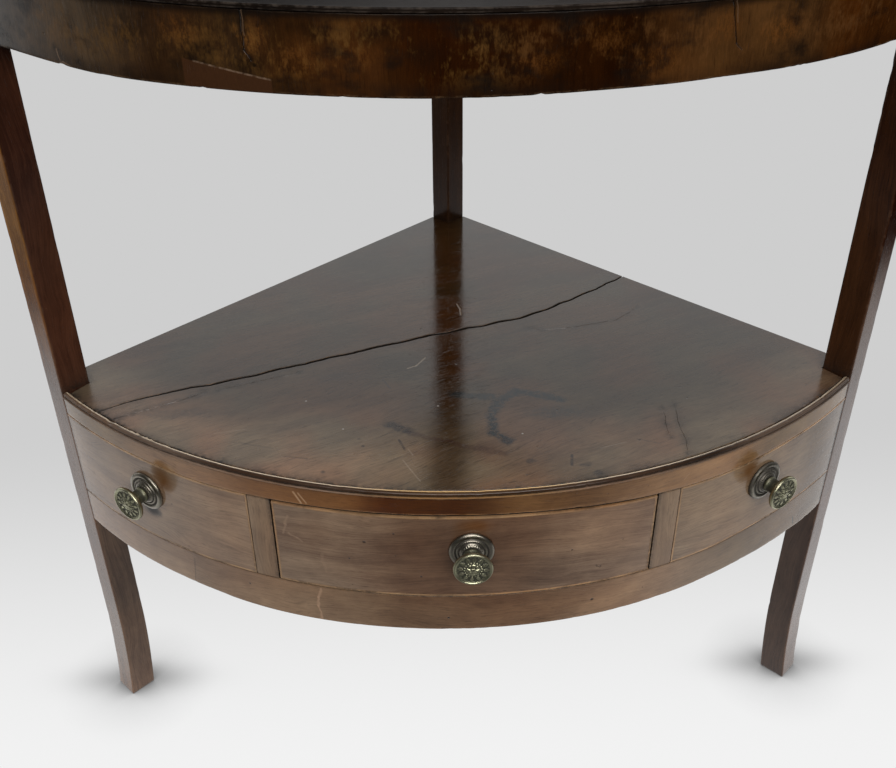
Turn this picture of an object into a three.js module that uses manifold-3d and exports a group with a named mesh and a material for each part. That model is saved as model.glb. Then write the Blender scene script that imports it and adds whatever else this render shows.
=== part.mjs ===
// Corner washstand, bow-fronted, three tiers: floor, drawer tier with a shelf, basin tier.
// Millimetres, +Z up. The plan is a quarter round: two straight sides meet at a right
// angle in the back corner, and a bowed front joins the two front legs.
import * as THREE from 'three';
import { mergeVertices } from 'three/addons/utils/BufferGeometryUtils.js';
import Module from 'manifold-3d';

const wasm = await Module();
wasm.setup();

// ---------------------------------------------------------------- driving dimensions
const SIDE = 430;            // length of each straight side, back corner to outer front leg corner
const LEG = 22;              // front leg section
const POST = 21;             // back leg section
const BOW_CENTRE = 49.3;     // bow centre, in front of the back corner on the centre line
const LEG_SPLAY = 5;         // how far each front foot sweeps forward along its side
const SPLAY_FROM = 95;       // height where the sweep begins

const SHELF_TOP = 320;       // upper face of the shelf over the drawer tier
const SHELF_T = 9;
const CASE_BOTTOM = 202;     // underside of the drawer tier
const LOWER_RAIL_TOP = 232.1;
const UPPER_RAIL_BOTTOM = 303.2;
const UPPER_RAIL_TOP = 316.9;
const BEAD_TOP = 320.6;

const FRIEZE_BOTTOM = 572.5;
const TOP_SURFACE = 615.5;
const TOP_LIP = 2.9;         // thin lip of the top board that covers the legs and frieze
const TOP_T = 9;

const CASE_SIDE_T = 10;      // side boards of both tiers
const CASE_SIDE_IN = 1;      // set in from the outer faces of the legs
const TENON_T = 5;
const TENON_L = 9;

const OPEN_HALF = 128.1;     // half width of the drawer opening
const STILE_OUT = 144.2;     // outer edge of each stile
const DRAWER_HALF = 127.2;
const DRAWER_Z0 = 232.7;
const DRAWER_Z1 = 301.6;
const DRAWER_FRONT_T = 16;
const DRAWER_SIDE_T = 9;
const DRAWER_BACK_Y = -150;
const LINE = 1.3;            // width of the light stringing
const LINE_D = 1.5;          // and its depth

const KNOB_R = 13;
const ROSE_R = 15;
const KNOB_REACH = 20.6;     // knob's foremost point, out from the wood
const KNOBS = {              // angle round the bow, height
  left: [-34.1, 275.6], centre: [0.5, 274.0], right: [32.5, 277.6],
};

const BASIN_R = 127, BASIN_Y = -258;
const CUP_R = 38, CUP_X = 205, CUP_Y = -290;
const SPLASH_T = 9, SPLASH_H = 108, SPLASH_END = 20, SPLASH_LEN = 424;

const GAP = 0.3;             // clearance left between neighbouring pieces

// ---------------------------------------------------------------- plan geometry
const S = Math.SQRT1_2;
// a point measured along a side (t, from the back corner) and in from its outer face (n)
const sidePt = (t, n, side) => [side * (t - n) * S, -(t + n) * S];
const [a2x, a2y] = sidePt(SIDE, LEG, 1);
const R = Math.hypot(a2x, a2y + BOW_CENTRE);        // radius of the bow through the leg corners
const Y_SHIFT = (BOW_CENTRE + R + KNOB_REACH) / 2;  // puts the origin under the middle of the plan
const bowPt = (phi, r) => [r * Math.sin(phi), -BOW_CENTRE - r * Math.cos(phi)];
const atLeg = (n, side) => (r) => side * (Math.acos((n - BOW_CENTRE * S) / r) - Math.PI / 4);
const atX = (x) => (r) => Math.asin(x / r);

// ---------------------------------------------------------------- solids
function toSolid(geometry) {
  const g = geometry.clone();
  g.deleteAttribute('normal');
  g.deleteAttribute('uv');
  const m = mergeVertices(g, 1e-4);
  return new wasm.Manifold(new wasm.Mesh({
    numProp: 3,
    vertProperties: new Float32Array(m.attributes.position.array),
    triVerts: new Uint32Array(m.index.array),
  }));
}
function toGeometry(solid) {
  const mesh = solid.getMesh();
  const g = new THREE.BufferGeometry();
  const n = mesh.vertProperties.length / mesh.numProp;
  const pos = new Float32Array(n * 3);
  for (let i = 0; i < n; i++) for (let k = 0; k < 3; k++) pos[3 * i + k] = mesh.vertProperties[i * mesh.numProp + k];
  g.setAttribute('position', new THREE.BufferAttribute(pos, 3));
  g.setIndex(Array.from(mesh.triVerts));
  g.computeVertexNormals();
  return g;
}
const join = (...list) => toGeometry(list.map(toSolid).reduce((a, b) => a.add(b)));
const cut = (base, ...tools) => toGeometry(tools.map(toSolid).reduce((a, b) => a.subtract(b), toSolid(base)));

// a closed body from vertices and triangles, turned to face outwards
function body(verts, tris) {
  let v6 = 0;
  for (const [a, b, c] of tris) {
    const [p, q, r] = [verts[a], verts[b], verts[c]];
    v6 += p[0] * (q[1] * r[2] - q[2] * r[1]) - p[1] * (q[0] * r[2] - q[2] * r[0]) + p[2] * (q[0] * r[1] - q[1] * r[0]);
  }
  const g = new THREE.BufferGeometry();
  g.setAttribute('position', new THREE.BufferAttribute(new Float32Array(verts.flat()), 3));
  g.setIndex(tris.flatMap(([a, b, c]) => (v6 < 0 ? [a, c, b] : [a, b, c])));
  g.computeVertexNormals();
  return g;
}
// rings of equal length joined in order and closed by flat ends
function loft(rings, outline) {
  const n = rings[0].length, verts = rings.flat(), tris = [];
  for (let i = 0; i + 1 < rings.length; i++) {
    for (let j = 0; j < n; j++) {
      const a = i * n + j, b = i * n + (j + 1) % n;
      tris.push([a, b, b + n], [a, b + n, a + n]);
    }
  }
  const last = (rings.length - 1) * n;
  const area = (pts) => pts.reduce((s, p, i) => { const q = pts[(i + 1) % pts.length]; return s + p[0] * q[1] - q[0] * p[1]; }, 0);
  const turn = Math.sign(area(outline));
  for (const [a, b, c] of THREE.ShapeUtils.triangulateShape(outline.map((p) => new THREE.Vector2(...p)), [])) {
    const same = Math.sign(area([outline[a], outline[b], outline[c]])) === turn;
    const [d, e] = same ? [b, c] : [c, b];
    tris.push([a, e, d], [last + a, last + d, last + e]);
  }
  return body(verts, tris);
}
// a straight prism over a plan outline
function prism(points, z0, z1, holes = []) {
  const shape = new THREE.Shape(points.map((p) => new THREE.Vector2(...p)));
  for (const h of holes) shape.holes.push(new THREE.Path(h.map((p) => new THREE.Vector2(...p))));
  return new THREE.ExtrudeGeometry(shape, { depth: z1 - z0, bevelEnabled: false, steps: 1 }).translate(0, 0, z0);
}
// the front was worked by eye, so its long lines wander off level: millimetres at every three degrees
// round the bow, from 48 on the left to 48 on the right
const WANDER_STEP = 3, WANDER_HALF = 48;
const WANDER = {
  caseBottom: [0, 0, 0, 0, 0, 0, -0.2, -0.9, -1.9, -2.4, -2.5, -2.4, -2.2, -1.9, -1.7, -1.6, -1.5, -1.3, -1.2, -1.1, -0.9, -0.6, 0, 0.6, 1.3, 2.4, 3.1, 3.0, 2.8, 2.2, 0.6, -0.6, -1.2],
  lowerRailTop: [0, 0, 0, 0, 0, 0, 0, 0, 0, 0, 0, 0, 0, 0, 0, 0, 0, 0, 0, 0, 0, 0, 0.2, 0.5, 0.8, 1.4, 2.9, 3.8, 4.2, 4.3, 3.7, 2.6, 1.2],
  upperRailBottom: [0, 0, 0, 0, 0, -0.2, -0.7, -1.2, -1.1, -0.7, -0.3, 0, 0, 0, 0, 0, 0, -0.2, -0.5, -1.0, -1.7, -2.6, -3.1, -3.4, -3.7, -3.5, -2.8, -1.6, -0.8, -0.4, -0.2, 0, 0],
  friezeBottom: [2.2, 2.1, 2.0, 1.9, 1.2, 0.2, -0.6, -0.8, -0.7, -0.6, -0.6, -0.6, -0.6, -0.6, -0.7, -0.7, -0.5, -0.2, 0.2, 0.6, 0.8, 0.9, 1.2, 1.4, 1.2, 1.1, 1.2, 1.3, 1.6, 1.8, 1.9, 1.9, 2.0],
};
function wander(phi, z) {
  const s = Math.min(2 * WANDER_HALF / WANDER_STEP - 1e-6, Math.max(0, ((phi * 180) / Math.PI + WANDER_HALF) / WANDER_STEP));
  const i = Math.floor(s), f = s - i;
  const at = (row) => {      // a smooth curve through the row's values
    const [a, b, c, d] = [-1, 0, 1, 2].map((k) => row[Math.min(row.length - 1, Math.max(0, i + k))]);
    return b + 0.5 * f * (c - a + f * (2 * a - 5 * b + 4 * c - d + f * (3 * (b - c) + d - a)));
  };
  const levels = z < 400
    ? [[CASE_BOTTOM, at(WANDER.caseBottom)], [LOWER_RAIL_TOP, at(WANDER.lowerRailTop)], [UPPER_RAIL_BOTTOM, at(WANDER.upperRailBottom)], [SHELF_TOP - SHELF_T - GAP, 0]]
    : [[FRIEZE_BOTTOM, at(WANDER.friezeBottom)], [FRIEZE_BOTTOM + 18, 0]];
  if (z <= levels[0][0]) return levels[0][1];
  for (let k = 1; k < levels.length; k++) {
    const [[z0, d0], [z1, d1]] = [levels[k - 1], levels[k]];
    if (z <= z1) return d0 + ((d1 - d0) * (z - z0)) / (z1 - z0);
  }
  return 0;
}
// a bar that follows the bow: section points are [radius, height]
function bowBar(section, endA, endB, steps) {
  const rings = [];
  for (let i = 0; i <= steps; i++) {
    const f = i / steps;
    rings.push(section.map(([r, z]) => {
      const phi = endA(r) * (1 - f) + endB(r) * f;
      const [x, y] = bowPt(phi, r);
      return [x, y, z + wander(phi, z)];
    }));
  }
  return loft(rings, section);
}
const rect = (r0, r1, z0, z1) => [[r0, z0], [r1, z0], [r1, z1], [r0, z1]];
// a box set along one side: t, n and z ranges
const sideBox = (side, t0, t1, n0, n1, z0, z1) =>
  prism([[t0, n0], [t1, n0], [t1, n1], [t0, n1]].map(([t, n]) => sidePt(t, n, side)), z0, z1);
const box = (x0, x1, y0, y1, z0, z1) => new THREE.BoxGeometry(x1 - x0, y1 - y0, z1 - z0)
  .translate((x0 + x1) / 2, (y0 + y1) / 2, (z0 + z1) / 2);
const circle = (x, y, r, n = 48) => Array.from({ length: n }, (_, i) => {
  const a = (i / n) * 2 * Math.PI;
  return [x + r * Math.cos(a), y + r * Math.sin(a)];
});
// a turned piece on the line that points out of the bow at an angle and height
function turned(profile, phi, z, segments) {
  const g = new THREE.LatheGeometry(profile.map(([r, d]) => new THREE.Vector2(r, d)), segments);
  const [x, y] = bowPt(phi, R);
  return g.rotateX(Math.PI).rotateZ(phi).translate(x, y, z);
}

// ---------------------------------------------------------------- finishes
const MAHOGANY = new THREE.Color(0x5a3322);
const DARK = new THREE.Color(0x3d2216);
const PINE = new THREE.Color(0xa07a4e);
const OAK = new THREE.Color(0x8a6a45);
const BOX = new THREE.Color(0xb08a62);
const BRASS = new THREE.Color(0x8f8558);
const BRONZE = new THREE.Color(0x4a463c);
const finishes = {
  mahogany: [MAHOGANY, 0.32, 0], dark: [DARK, 0.3, 0], pine: [PINE, 0.7, 0], oak: [OAK, 0.65, 0],
  boxwood: [BOX, 0.4, 0], brass: [BRASS, 0.35, 1], bronze: [BRONZE, 0.4, 1],
};

const stand = new THREE.Group();
stand.position.set(0, Y_SHIFT, 0);
const drawer = new THREE.Group();
stand.add(drawer);
function add(name, geometry, finish, parent = stand) {
  const [color, roughness, metalness] = finishes[finish];
  const mesh = new THREE.Mesh(geometry, new THREE.MeshStandardMaterial({ color: color.clone(), roughness, metalness }));
  mesh.name = name;
  parent.add(mesh);
  return mesh;
}
const each = (f) => { f('left', -1); f('right', 1); };

// ---------------------------------------------------------------- legs
const legTop = TOP_SURFACE - TOP_LIP - GAP;
const caseTop = SHELF_TOP - SHELF_T - GAP;          // top of what the shelf rests on
const friezeSideTop = TOP_SURFACE - TOP_T - GAP;
const tenonN = CASE_SIDE_IN + CASE_SIDE_T / 2;
const tenonBoxes = (side, grow) => {
  const out = [];
  for (const [z0, z1] of [[CASE_BOTTOM + 12, CASE_BOTTOM + 46], [caseTop - 50, caseTop - 14], [FRIEZE_BOTTOM + 6, friezeSideTop - 6]]) {
    const n0 = tenonN - TENON_T / 2 - grow, n1 = tenonN + TENON_T / 2 + grow;
    out.push({ back: sideBox(side, POST - TENON_L - grow, POST + 2, n0, n1, z0 - grow, z1 + grow),
      front: sideBox(side, SIDE - LEG - 2, SIDE - LEG + TENON_L + grow, n0, n1, z0 - grow, z1 + grow),
      z0, z1 });
  }
  return out;
};
// stub tenons of the bowed rails, entering the legs' inner faces
const RAIL_TENON = 7;
const railTenon = (side, z0, z1, grow) =>
  sideBox(side, SIDE - LEG + 4.5 - grow, SIDE - LEG + 11.5 + grow, LEG - RAIL_TENON - grow, LEG + 3, z0 - grow, z1 + grow);
const railTenonHeights = [[CASE_BOTTOM + 5, LOWER_RAIL_TOP - 5], [UPPER_RAIL_BOTTOM + 1.5, caseTop - 1], [FRIEZE_BOTTOM + 5, FRIEZE_BOTTOM + 30]];

function frontLeg(side) {
  const plan = (s) => [[0, 0], [0, LEG], [-LEG, LEG], [-LEG, 0]].map(([t, n]) => sidePt(SIDE + t + s, n, side));
  const heights = [0, 10, 20, 32, 44, 58, 74, SPLAY_FROM, legTop];
  const rings = heights.map((z) => {
    const k = Math.max(0, (SPLAY_FROM - z) / SPLAY_FROM);
    return plan(LEG_SPLAY * k * k).map(([x, y]) => [x, y, z]);
  });
  let leg = loft(rings, plan(0));
  leg = cut(leg, ...tenonBoxes(side, GAP).map((b) => b.front), ...railTenonHeights.map(([a, b]) => railTenon(side, a, b, GAP)));
  return leg;
}
each((name, side) => add(`leg_front_${name}`, frontLeg(side), 'mahogany'));
const postPlan = [[0, 0], sidePt(POST, 0, -1), [0, -2 * POST * S], sidePt(POST, 0, 1)];
add('leg_back', cut(prism(postPlan, 0, legTop), ...tenonBoxes(1, GAP).map((b) => b.back), ...tenonBoxes(-1, GAP).map((b) => b.back)), 'mahogany');

// ---------------------------------------------------------------- side boards of both tiers
const sideBoard = (side, z0, z1, pick) => join(
  sideBox(side, POST + GAP, SIDE - LEG - GAP, CASE_SIDE_IN, CASE_SIDE_IN + CASE_SIDE_T, z0, z1),
  ...tenonBoxes(side, 0).filter((b) => pick(b)).flatMap((b) => [b.back, b.front]));
each((name, side) => {
  add(`case_side_${name}`, sideBoard(side, CASE_BOTTOM, caseTop, (b) => b.z1 < SHELF_TOP), 'mahogany');
  add(`frieze_side_${name}`, sideBoard(side, FRIEZE_BOTTOM, friezeSideTop, (b) => b.z0 > FRIEZE_BOTTOM), 'mahogany');
});

// ---------------------------------------------------------------- bowed rails, stiles and dummy drawer fronts
const legL = atLeg(LEG + GAP, -1), legR = atLeg(LEG + GAP, 1);
const STEPS = 44;
const stileTenon = (x, z, grow) => box(x - 4.5 - grow, x + 4.5 + grow,
  -BOW_CENTRE - Math.sqrt((R - 10) ** 2 - x * x) - 3 - grow, -BOW_CENTRE - Math.sqrt((R - 10) ** 2 - x * x) + 3 + grow, z - 5 - grow, z + 5 + grow);
const stileX = (OPEN_HALF + STILE_OUT) / 2;

add('rail_lower_front', cut(
  join(bowBar(rect(R - 20, R, CASE_BOTTOM, LOWER_RAIL_TOP), legL, legR, STEPS),
    railTenon(-1, ...railTenonHeights[0], 0), railTenon(1, ...railTenonHeights[0], 0)),
  stileTenon(-stileX, LOWER_RAIL_TOP, GAP), stileTenon(stileX, LOWER_RAIL_TOP, GAP)), 'mahogany');
add('rail_upper_front', cut(
  join(bowBar([[R - 18, UPPER_RAIL_BOTTOM], [R, UPPER_RAIL_BOTTOM], [R, UPPER_RAIL_TOP], [R - 4.6, UPPER_RAIL_TOP], [R - 4.6, caseTop], [R - 18, caseTop]], legL, legR, STEPS),
    railTenon(-1, ...railTenonHeights[1], 0), railTenon(1, ...railTenonHeights[1], 0)),
  stileTenon(-stileX, UPPER_RAIL_BOTTOM, GAP), stileTenon(stileX, UPPER_RAIL_BOTTOM, GAP)), 'mahogany');
const midZ0 = LOWER_RAIL_TOP + GAP, midZ1 = UPPER_RAIL_BOTTOM - GAP;
each((name, side) => {
  const a = side < 0 ? atX(-STILE_OUT + GAP / 2) : atX(OPEN_HALF);
  const b = side < 0 ? atX(-OPEN_HALF) : atX(STILE_OUT - GAP / 2);
  add(`stile_${name}`, join(bowBar(rect(R - 18, R, midZ0, midZ1), a, b, 3),
    stileTenon(side * stileX, LOWER_RAIL_TOP, 0), stileTenon(side * stileX, UPPER_RAIL_BOTTOM, 0)), 'mahogany');
});

// ---------------------------------------------------------------- knobs: profile points are [radius, distance out of the wood]
const ROSE = [[2.9, 0.4], [ROSE_R, 0.4], [ROSE_R, 1.4], [14.2, 2.6], [12.4, 3.0], [11.0, 2.2], [10.2, 2.5], [9.2, 3.4], [7.8, 3.6], [7.0, 4.6], [4.8, 4.8], [2.9, 4.8], [2.9, 0.4]];
const KNOB = [[0, -24], [2.5, -24], [2.5, 5.1], [5.4, 5.1], [5.9, 6.8], [5.1, 9.6], [5.0, 11.6], [7.6, 13.7], [11.4, 15.6], [12.8, 16.9], [KNOB_R, 18.0], [12.5, 19.0], [11.4, 19.2], [9.6, 19.3], [6.0, 20.1], [2.2, 20.55], [0, KNOB_REACH]];
const nutProfile = (back) => [[2.9, back - 4.4], [6.2, back - 4.4], [6.2, back - 0.8], [5.6, back - GAP], [2.9, back - GAP], [2.9, back - 4.4]];
const shankHole = (key) => {
  const [deg, z] = KNOBS[key];
  return turned([[0, -40], [2.9, -40], [2.9, 10], [0, 10]], (deg * Math.PI) / 180, z, 16);
};
function addKnob(key, backT, parent) {
  const [deg, z] = KNOBS[key];
  const phi = (deg * Math.PI) / 180;
  add(`rose_${key}`, turned(ROSE, phi, z, 24), 'bronze', parent);
  add(`knob_${key}`, turned(KNOB.map(([r, d]) => [r, d < -1 ? -(backT + 6.4) : d]), phi, z, 24), 'brass', parent);
  add(`knob_nut_${key}`, turned(nutProfile(-backT), phi, z, 12), 'bronze', parent);
}

const DUMMY_T = 14;
each((name, side) => {
  const inner = (x) => atX(side * x);
  const leg = side < 0 ? legL : legR;
  const bar = (sec, from, to, n) => (side < 0 ? bowBar(sec, to, from, n) : bowBar(sec, from, to, n));
  const x0 = STILE_OUT + GAP / 2, z0 = midZ0, z1 = midZ1;
  const panel = bar(rect(R - DUMMY_T, R, z0, z1), inner(x0), leg, 20);
  // shallow rabbets along three edges hold the stringing
  const d = LINE_D + GAP, w = LINE + GAP;
  const dummy = cut(panel,
    bar(rect(R - d, R + 3, z1 - w, z1 + 3), inner(x0 - 3), atLeg(LEG - 4, side), 20),
    bar(rect(R - d, R + 3, z0 - 3, z0 + w), inner(x0 - 3), atLeg(LEG - 4, side), 20),
    bar(rect(R - d, R + 3, z0 - 3, z1 + 3), inner(x0 - 3), inner(x0 + w), 2),
    shankHole(name));
  add(`dummy_drawer_${name}`, dummy, 'mahogany');
  add(`stringing_dummy_${name}`, join(
    bar(rect(R - LINE_D, R, z1 - LINE, z1), inner(x0), leg, 20),
    bar(rect(R - LINE_D, R, z0, z0 + LINE), inner(x0), leg, 20),
    bar(rect(R - LINE_D, R, z0, z1), inner(x0), inner(x0 + LINE), 1)), 'boxwood');
  addKnob(name, DUMMY_T, stand);
});

// ---------------------------------------------------------------- shelf, split right across into two boards
const bowEdge = (r, from, to, steps) => Array.from({ length: steps + 1 }, (_, i) => {
  const f = i / steps;
  return bowPt(from * (1 - f) + to * f, r);
});
const SHELF_R = R - 5;
const crack = [   // centre line of the split and its width
  [-257.5, -343.4, 1.0], [-249.0, -338.4, 1.1], [-240.2, -332.9, 1.3], [-226.0, -326.8, 1.6], [-211.5, -322.0, 1.5], [-196.0, -315.2, 1.9],
  [-183.0, -311.1, 1.7], [-168.7, -304.6, 2.0], [-150.0, -298.4, 1.8], [-133.0, -290.1, 2.1], [-115.0, -283.9, 1.9], [-97.0, -275.2, 2.2],
  [-80.0, -269.6, 2.0], [-60.0, -260.4, 2.3], [-41.0, -253.9, 2.1], [-20.5, -244.6, 2.4], [-6.0, -241.1, 1.9], [10.0, -234.0, 2.3],
  [22.0, -231.8, 1.8], [36.0, -225.2, 2.2], [53.1, -220.4, 1.7], [64.0, -213.0, 2.1], [77.0, -206.3, 1.6], [88.0, -196.5, 1.9],
  [97.6, -191.2, 1.5], [110.0, -180.4, 1.6], [122.0, -172.6, 1.3], [133.0, -162.0, 1.4], [141.5, -156.4, 1.2], [150.6, -147.6, 1.1],
];
const crackEdge = (sgn) => crack.map(([x, y, w], i) => {
  const a = crack[Math.max(0, i - 1)], b = crack[Math.min(crack.length - 1, i + 1)];
  const tx = b[0] - a[0], ty = b[1] - a[1], l = Math.hypot(tx, ty);
  return [x - (ty / l) * sgn * w * 0.5, y + (tx / l) * sgn * w * 0.5];
});
const phiLegShelf = atLeg(LEG + GAP, 1)(SHELF_R);
const quarter = (r, phi) => [[0, 0], sidePt(SIDE - LEG - GAP, 0, -1), sidePt(SIDE - LEG - GAP, LEG + GAP, -1),
  ...bowEdge(r, -phi, phi, STEPS), sidePt(SIDE - LEG - GAP, LEG + GAP, 1), sidePt(SIDE - LEG - GAP, 0, 1)];
const backNotch = (z0, z1) => prism([[0, 4], sidePt(POST + GAP, -4, -1), [0, -2 * (POST + GAP) * S], sidePt(POST + GAP, -4, 1)], z0, z1);
function shelfHalf(rear) {
  const full = prism(quarter(SHELF_R, phiLegShelf), SHELF_TOP - SHELF_T, SHELF_TOP);
  const notch = backNotch(SHELF_TOP - SHELF_T - 5, SHELF_TOP + 5);
  const edge = crackEdge(rear ? 1 : -1);
  const first = edge[0], last = edge[edge.length - 1];
  const remove = rear
    ? prism([...edge, [last[0] + 12, last[1] + 12], [460, 40], [460, -520], [-460, -520], [-460, first[1] - 30], [first[0] - 30, first[1] - 16]], SHELF_TOP - SHELF_T - 5, SHELF_TOP + 5)
    : prism([...edge, [last[0] + 12, last[1] + 12], [460, 40], [-460, 40], [-460, first[1] - 30], [first[0] - 30, first[1] - 16]], SHELF_TOP - SHELF_T - 5, SHELF_TOP + 5);
  return rear ? cut(full, notch, remove) : cut(full, remove);
}
add('shelf_board_rear', shelfHalf(true), 'mahogany');
add('shelf_board_front', shelfHalf(false), 'mahogany');
add('shelf_edge_bead', bowBar(rect(R - 4.6, R + 0.6, UPPER_RAIL_TOP + GAP, BEAD_TOP), legL, legR, STEPS), 'mahogany');

// ---------------------------------------------------------------- inside the drawer tier
const planStrip = (side, x0, x1, rFront, nBack, steps = 3) => {
  const pts = [];
  for (let i = 0; i <= steps; i++) { const x = x0 + ((x1 - x0) * i) / steps; pts.push([side * x, -BOW_CENTRE - Math.sqrt(rFront ** 2 - x * x)]); }
  pts.push([side * x1, -x1 - nBack * Math.SQRT2], [side * x0, -x0 - nBack * Math.SQRT2]);
  return pts;
};
const inside = CASE_SIDE_IN + CASE_SIDE_T + GAP;
each((name, side) => {
  add(`drawer_runner_${name}`, join(
    prism(planStrip(side, 112, 143.5, R - 20 - GAP, inside), LOWER_RAIL_TOP - 10, LOWER_RAIL_TOP),
    prism(planStrip(side, OPEN_HALF, 143.5, R - 20 - GAP, inside), LOWER_RAIL_TOP - 5, LOWER_RAIL_TOP + 20)), 'pine');
  add(`drawer_kicker_${name}`, prism(planStrip(side, 112, 128, R - 18 - GAP, inside), 294.2, caseTop), 'pine');
  add(`drawer_stop_${name}`, prism([[side * 112, DRAWER_BACK_Y + 0.5], [side * 127.4, DRAWER_BACK_Y + 0.5],
    [side * 127.4, -127.4 - inside * Math.SQRT2], [side * 112, -112 - inside * Math.SQRT2]], LOWER_RAIL_TOP + GAP, LOWER_RAIL_TOP + 14), 'pine');
  add(`glue_block_back_${name}`, sideBox(side, 62, 122, inside, inside + 13, caseTop - 13, caseTop), 'pine');
  add(`glue_block_front_${name}`, sideBox(side, 250, 320, inside, inside + 13, caseTop - 13, caseTop), 'pine');
});

// ---------------------------------------------------------------- drawer
const sideZ0 = LOWER_RAIL_TOP + 0.4, sideZ1 = 293;
const sideX1 = DRAWER_HALF - 0.3, sideX0 = sideX1 - DRAWER_SIDE_T;
const frontInnerY = (x) => -BOW_CENTRE - Math.sqrt((R - DRAWER_FRONT_T) ** 2 - x * x);
const shoulderY = frontInnerY(sideX1) + 0.6;       // where the side meets the back of the front
const tailY = shoulderY - 10.5;                      // tips of the dovetails, short of the show face
// side board outline, seen from outside: [y, z], with three tails at the front end
const tails = [[240, 254], [259, 273], [278, 289.5]];
function sideOutline(grow) {
  const o = [[DRAWER_BACK_Y - 0, sideZ0 - 0]];
  o.push([DRAWER_BACK_Y, sideZ1], [shoulderY, sideZ1]);
  for (const [z0, z1] of [...tails].reverse()) {
    o.push([shoulderY, z1 - 1.6 + grow], [tailY - grow, z1 + grow], [tailY - grow, z0 - grow], [shoulderY, z0 + 1.6 - grow]);
  }
  o.push([shoulderY, sideZ0]);
  return o;
}
// stand an outline given as [y, z] between two x values
const uprightX = (outline, x0, x1) => {
  const g = new THREE.ExtrudeGeometry(new THREE.Shape(outline.map((p) => new THREE.Vector2(...p))), { depth: x1 - x0, bevelEnabled: false });
  return g.applyMatrix4(new THREE.Matrix4().set(0, 0, 1, x0, 1, 0, 0, 0, 0, 1, 0, 0, 0, 0, 0, 1));
};
const BOTTOM_Z0 = 238.4, BOTTOM_Z1 = 243.4, GROOVE = 3.6;
const bottomPlan = (grow) => {
  const hx = sideX0 + GROOVE + grow - GAP, pts = [];
  for (let i = 0; i <= 12; i++) { const x = -hx + (2 * hx * i) / 12; pts.push([x, -BOW_CENTRE - Math.sqrt((R - DRAWER_FRONT_T + 4 - GAP + grow) ** 2 - x * x)]); }
  pts.push([hx, DRAWER_BACK_Y + (grow ? 3 : 0)], [-hx, DRAWER_BACK_Y + (grow ? 3 : 0)]);
  return pts;
};
const bottomCut = prism(bottomPlan(GAP), BOTTOM_Z0 - GAP, BOTTOM_Z1 + GAP);
const tailCut = (side) => {
  const x0 = side < 0 ? -sideX1 - 3 : sideX0 - GAP, x1 = side < 0 ? -sideX0 + GAP : sideX1 + 3;
  return tails.map(([z0, z1]) => uprightX([[shoulderY + 12, z0 + 1.6 - GAP], [shoulderY + 12, z1 - 1.6 + GAP], [shoulderY, z1 - 1.6 + GAP],
    [tailY - GAP, z1 + GAP], [tailY - GAP, z0 - GAP], [shoulderY, z0 + 1.6 - GAP]], x0, x1));
};
const dL = atX(-DRAWER_HALF), dR = atX(DRAWER_HALF);
const dd = LINE_D + GAP, dw = LINE + GAP;
const frontBlank = bowBar(rect(R - DRAWER_FRONT_T, R, DRAWER_Z0, DRAWER_Z1), dL, dR, 24);
const shoulderCut = (side) => box(side < 0 ? -sideX1 - 3 : sideX0 - GAP, side < 0 ? -sideX0 + GAP : sideX1 + 3, shoulderY - GAP, shoulderY + 20, DRAWER_Z0 - 4, DRAWER_Z1 + 4);
add('drawer_front', cut(frontBlank,
  bowBar(rect(R - dd, R + 3, DRAWER_Z1 - dw, DRAWER_Z1 + 3), atX(-DRAWER_HALF - 3), atX(DRAWER_HALF + 3), 24),
  bowBar(rect(R - dd, R + 3, DRAWER_Z0 - 3, DRAWER_Z0 + dw), atX(-DRAWER_HALF - 3), atX(DRAWER_HALF + 3), 24),
  bowBar(rect(R - dd, R + 3, DRAWER_Z0 - 3, DRAWER_Z1 + 3), atX(-DRAWER_HALF - 3), atX(-DRAWER_HALF + dw), 2),
  bowBar(rect(R - dd, R + 3, DRAWER_Z0 - 3, DRAWER_Z1 + 3), atX(DRAWER_HALF - dw), atX(DRAWER_HALF + 3), 2),
  shoulderCut(-1), shoulderCut(1), ...tailCut(-1), ...tailCut(1), bottomCut, shankHole('centre')), 'mahogany', drawer);
add('stringing_drawer', join(
  bowBar(rect(R - LINE_D, R, DRAWER_Z1 - LINE, DRAWER_Z1), dL, dR, 24),
  bowBar(rect(R - LINE_D, R, DRAWER_Z0, DRAWER_Z0 + LINE), dL, dR, 24),
  bowBar(rect(R - LINE_D, R, DRAWER_Z0, DRAWER_Z1), dL, atX(-DRAWER_HALF + LINE), 1),
  bowBar(rect(R - LINE_D, R, DRAWER_Z0, DRAWER_Z1), atX(DRAWER_HALF - LINE), dR, 1)), 'boxwood', drawer);
each((name, side) => {
  const x0 = side < 0 ? -sideX1 : sideX0;
  add(`drawer_side_${name}`, cut(uprightX(sideOutline(0), x0, x0 + DRAWER_SIDE_T), bottomCut), 'oak', drawer);
});
add('drawer_back', box(-sideX0 + GAP, sideX0 - GAP, DRAWER_BACK_Y - 8, DRAWER_BACK_Y, BOTTOM_Z1 + GAP, 288), 'oak', drawer);
add('drawer_bottom', prism(bottomPlan(0), BOTTOM_Z0, BOTTOM_Z1), 'oak', drawer);
addKnob('centre', DRAWER_FRONT_T, drawer);

// ---------------------------------------------------------------- basin tier
add('frieze_front', join(
  bowBar([[R - 16, FRIEZE_BOTTOM], [R, FRIEZE_BOTTOM], [R, legTop], [R - 6, legTop], [R - 6, friezeSideTop], [R - 16, friezeSideTop]], legL, legR, STEPS),
  railTenon(-1, ...railTenonHeights[2], 0), railTenon(1, ...railTenonHeights[2], 0)), 'dark');

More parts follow.
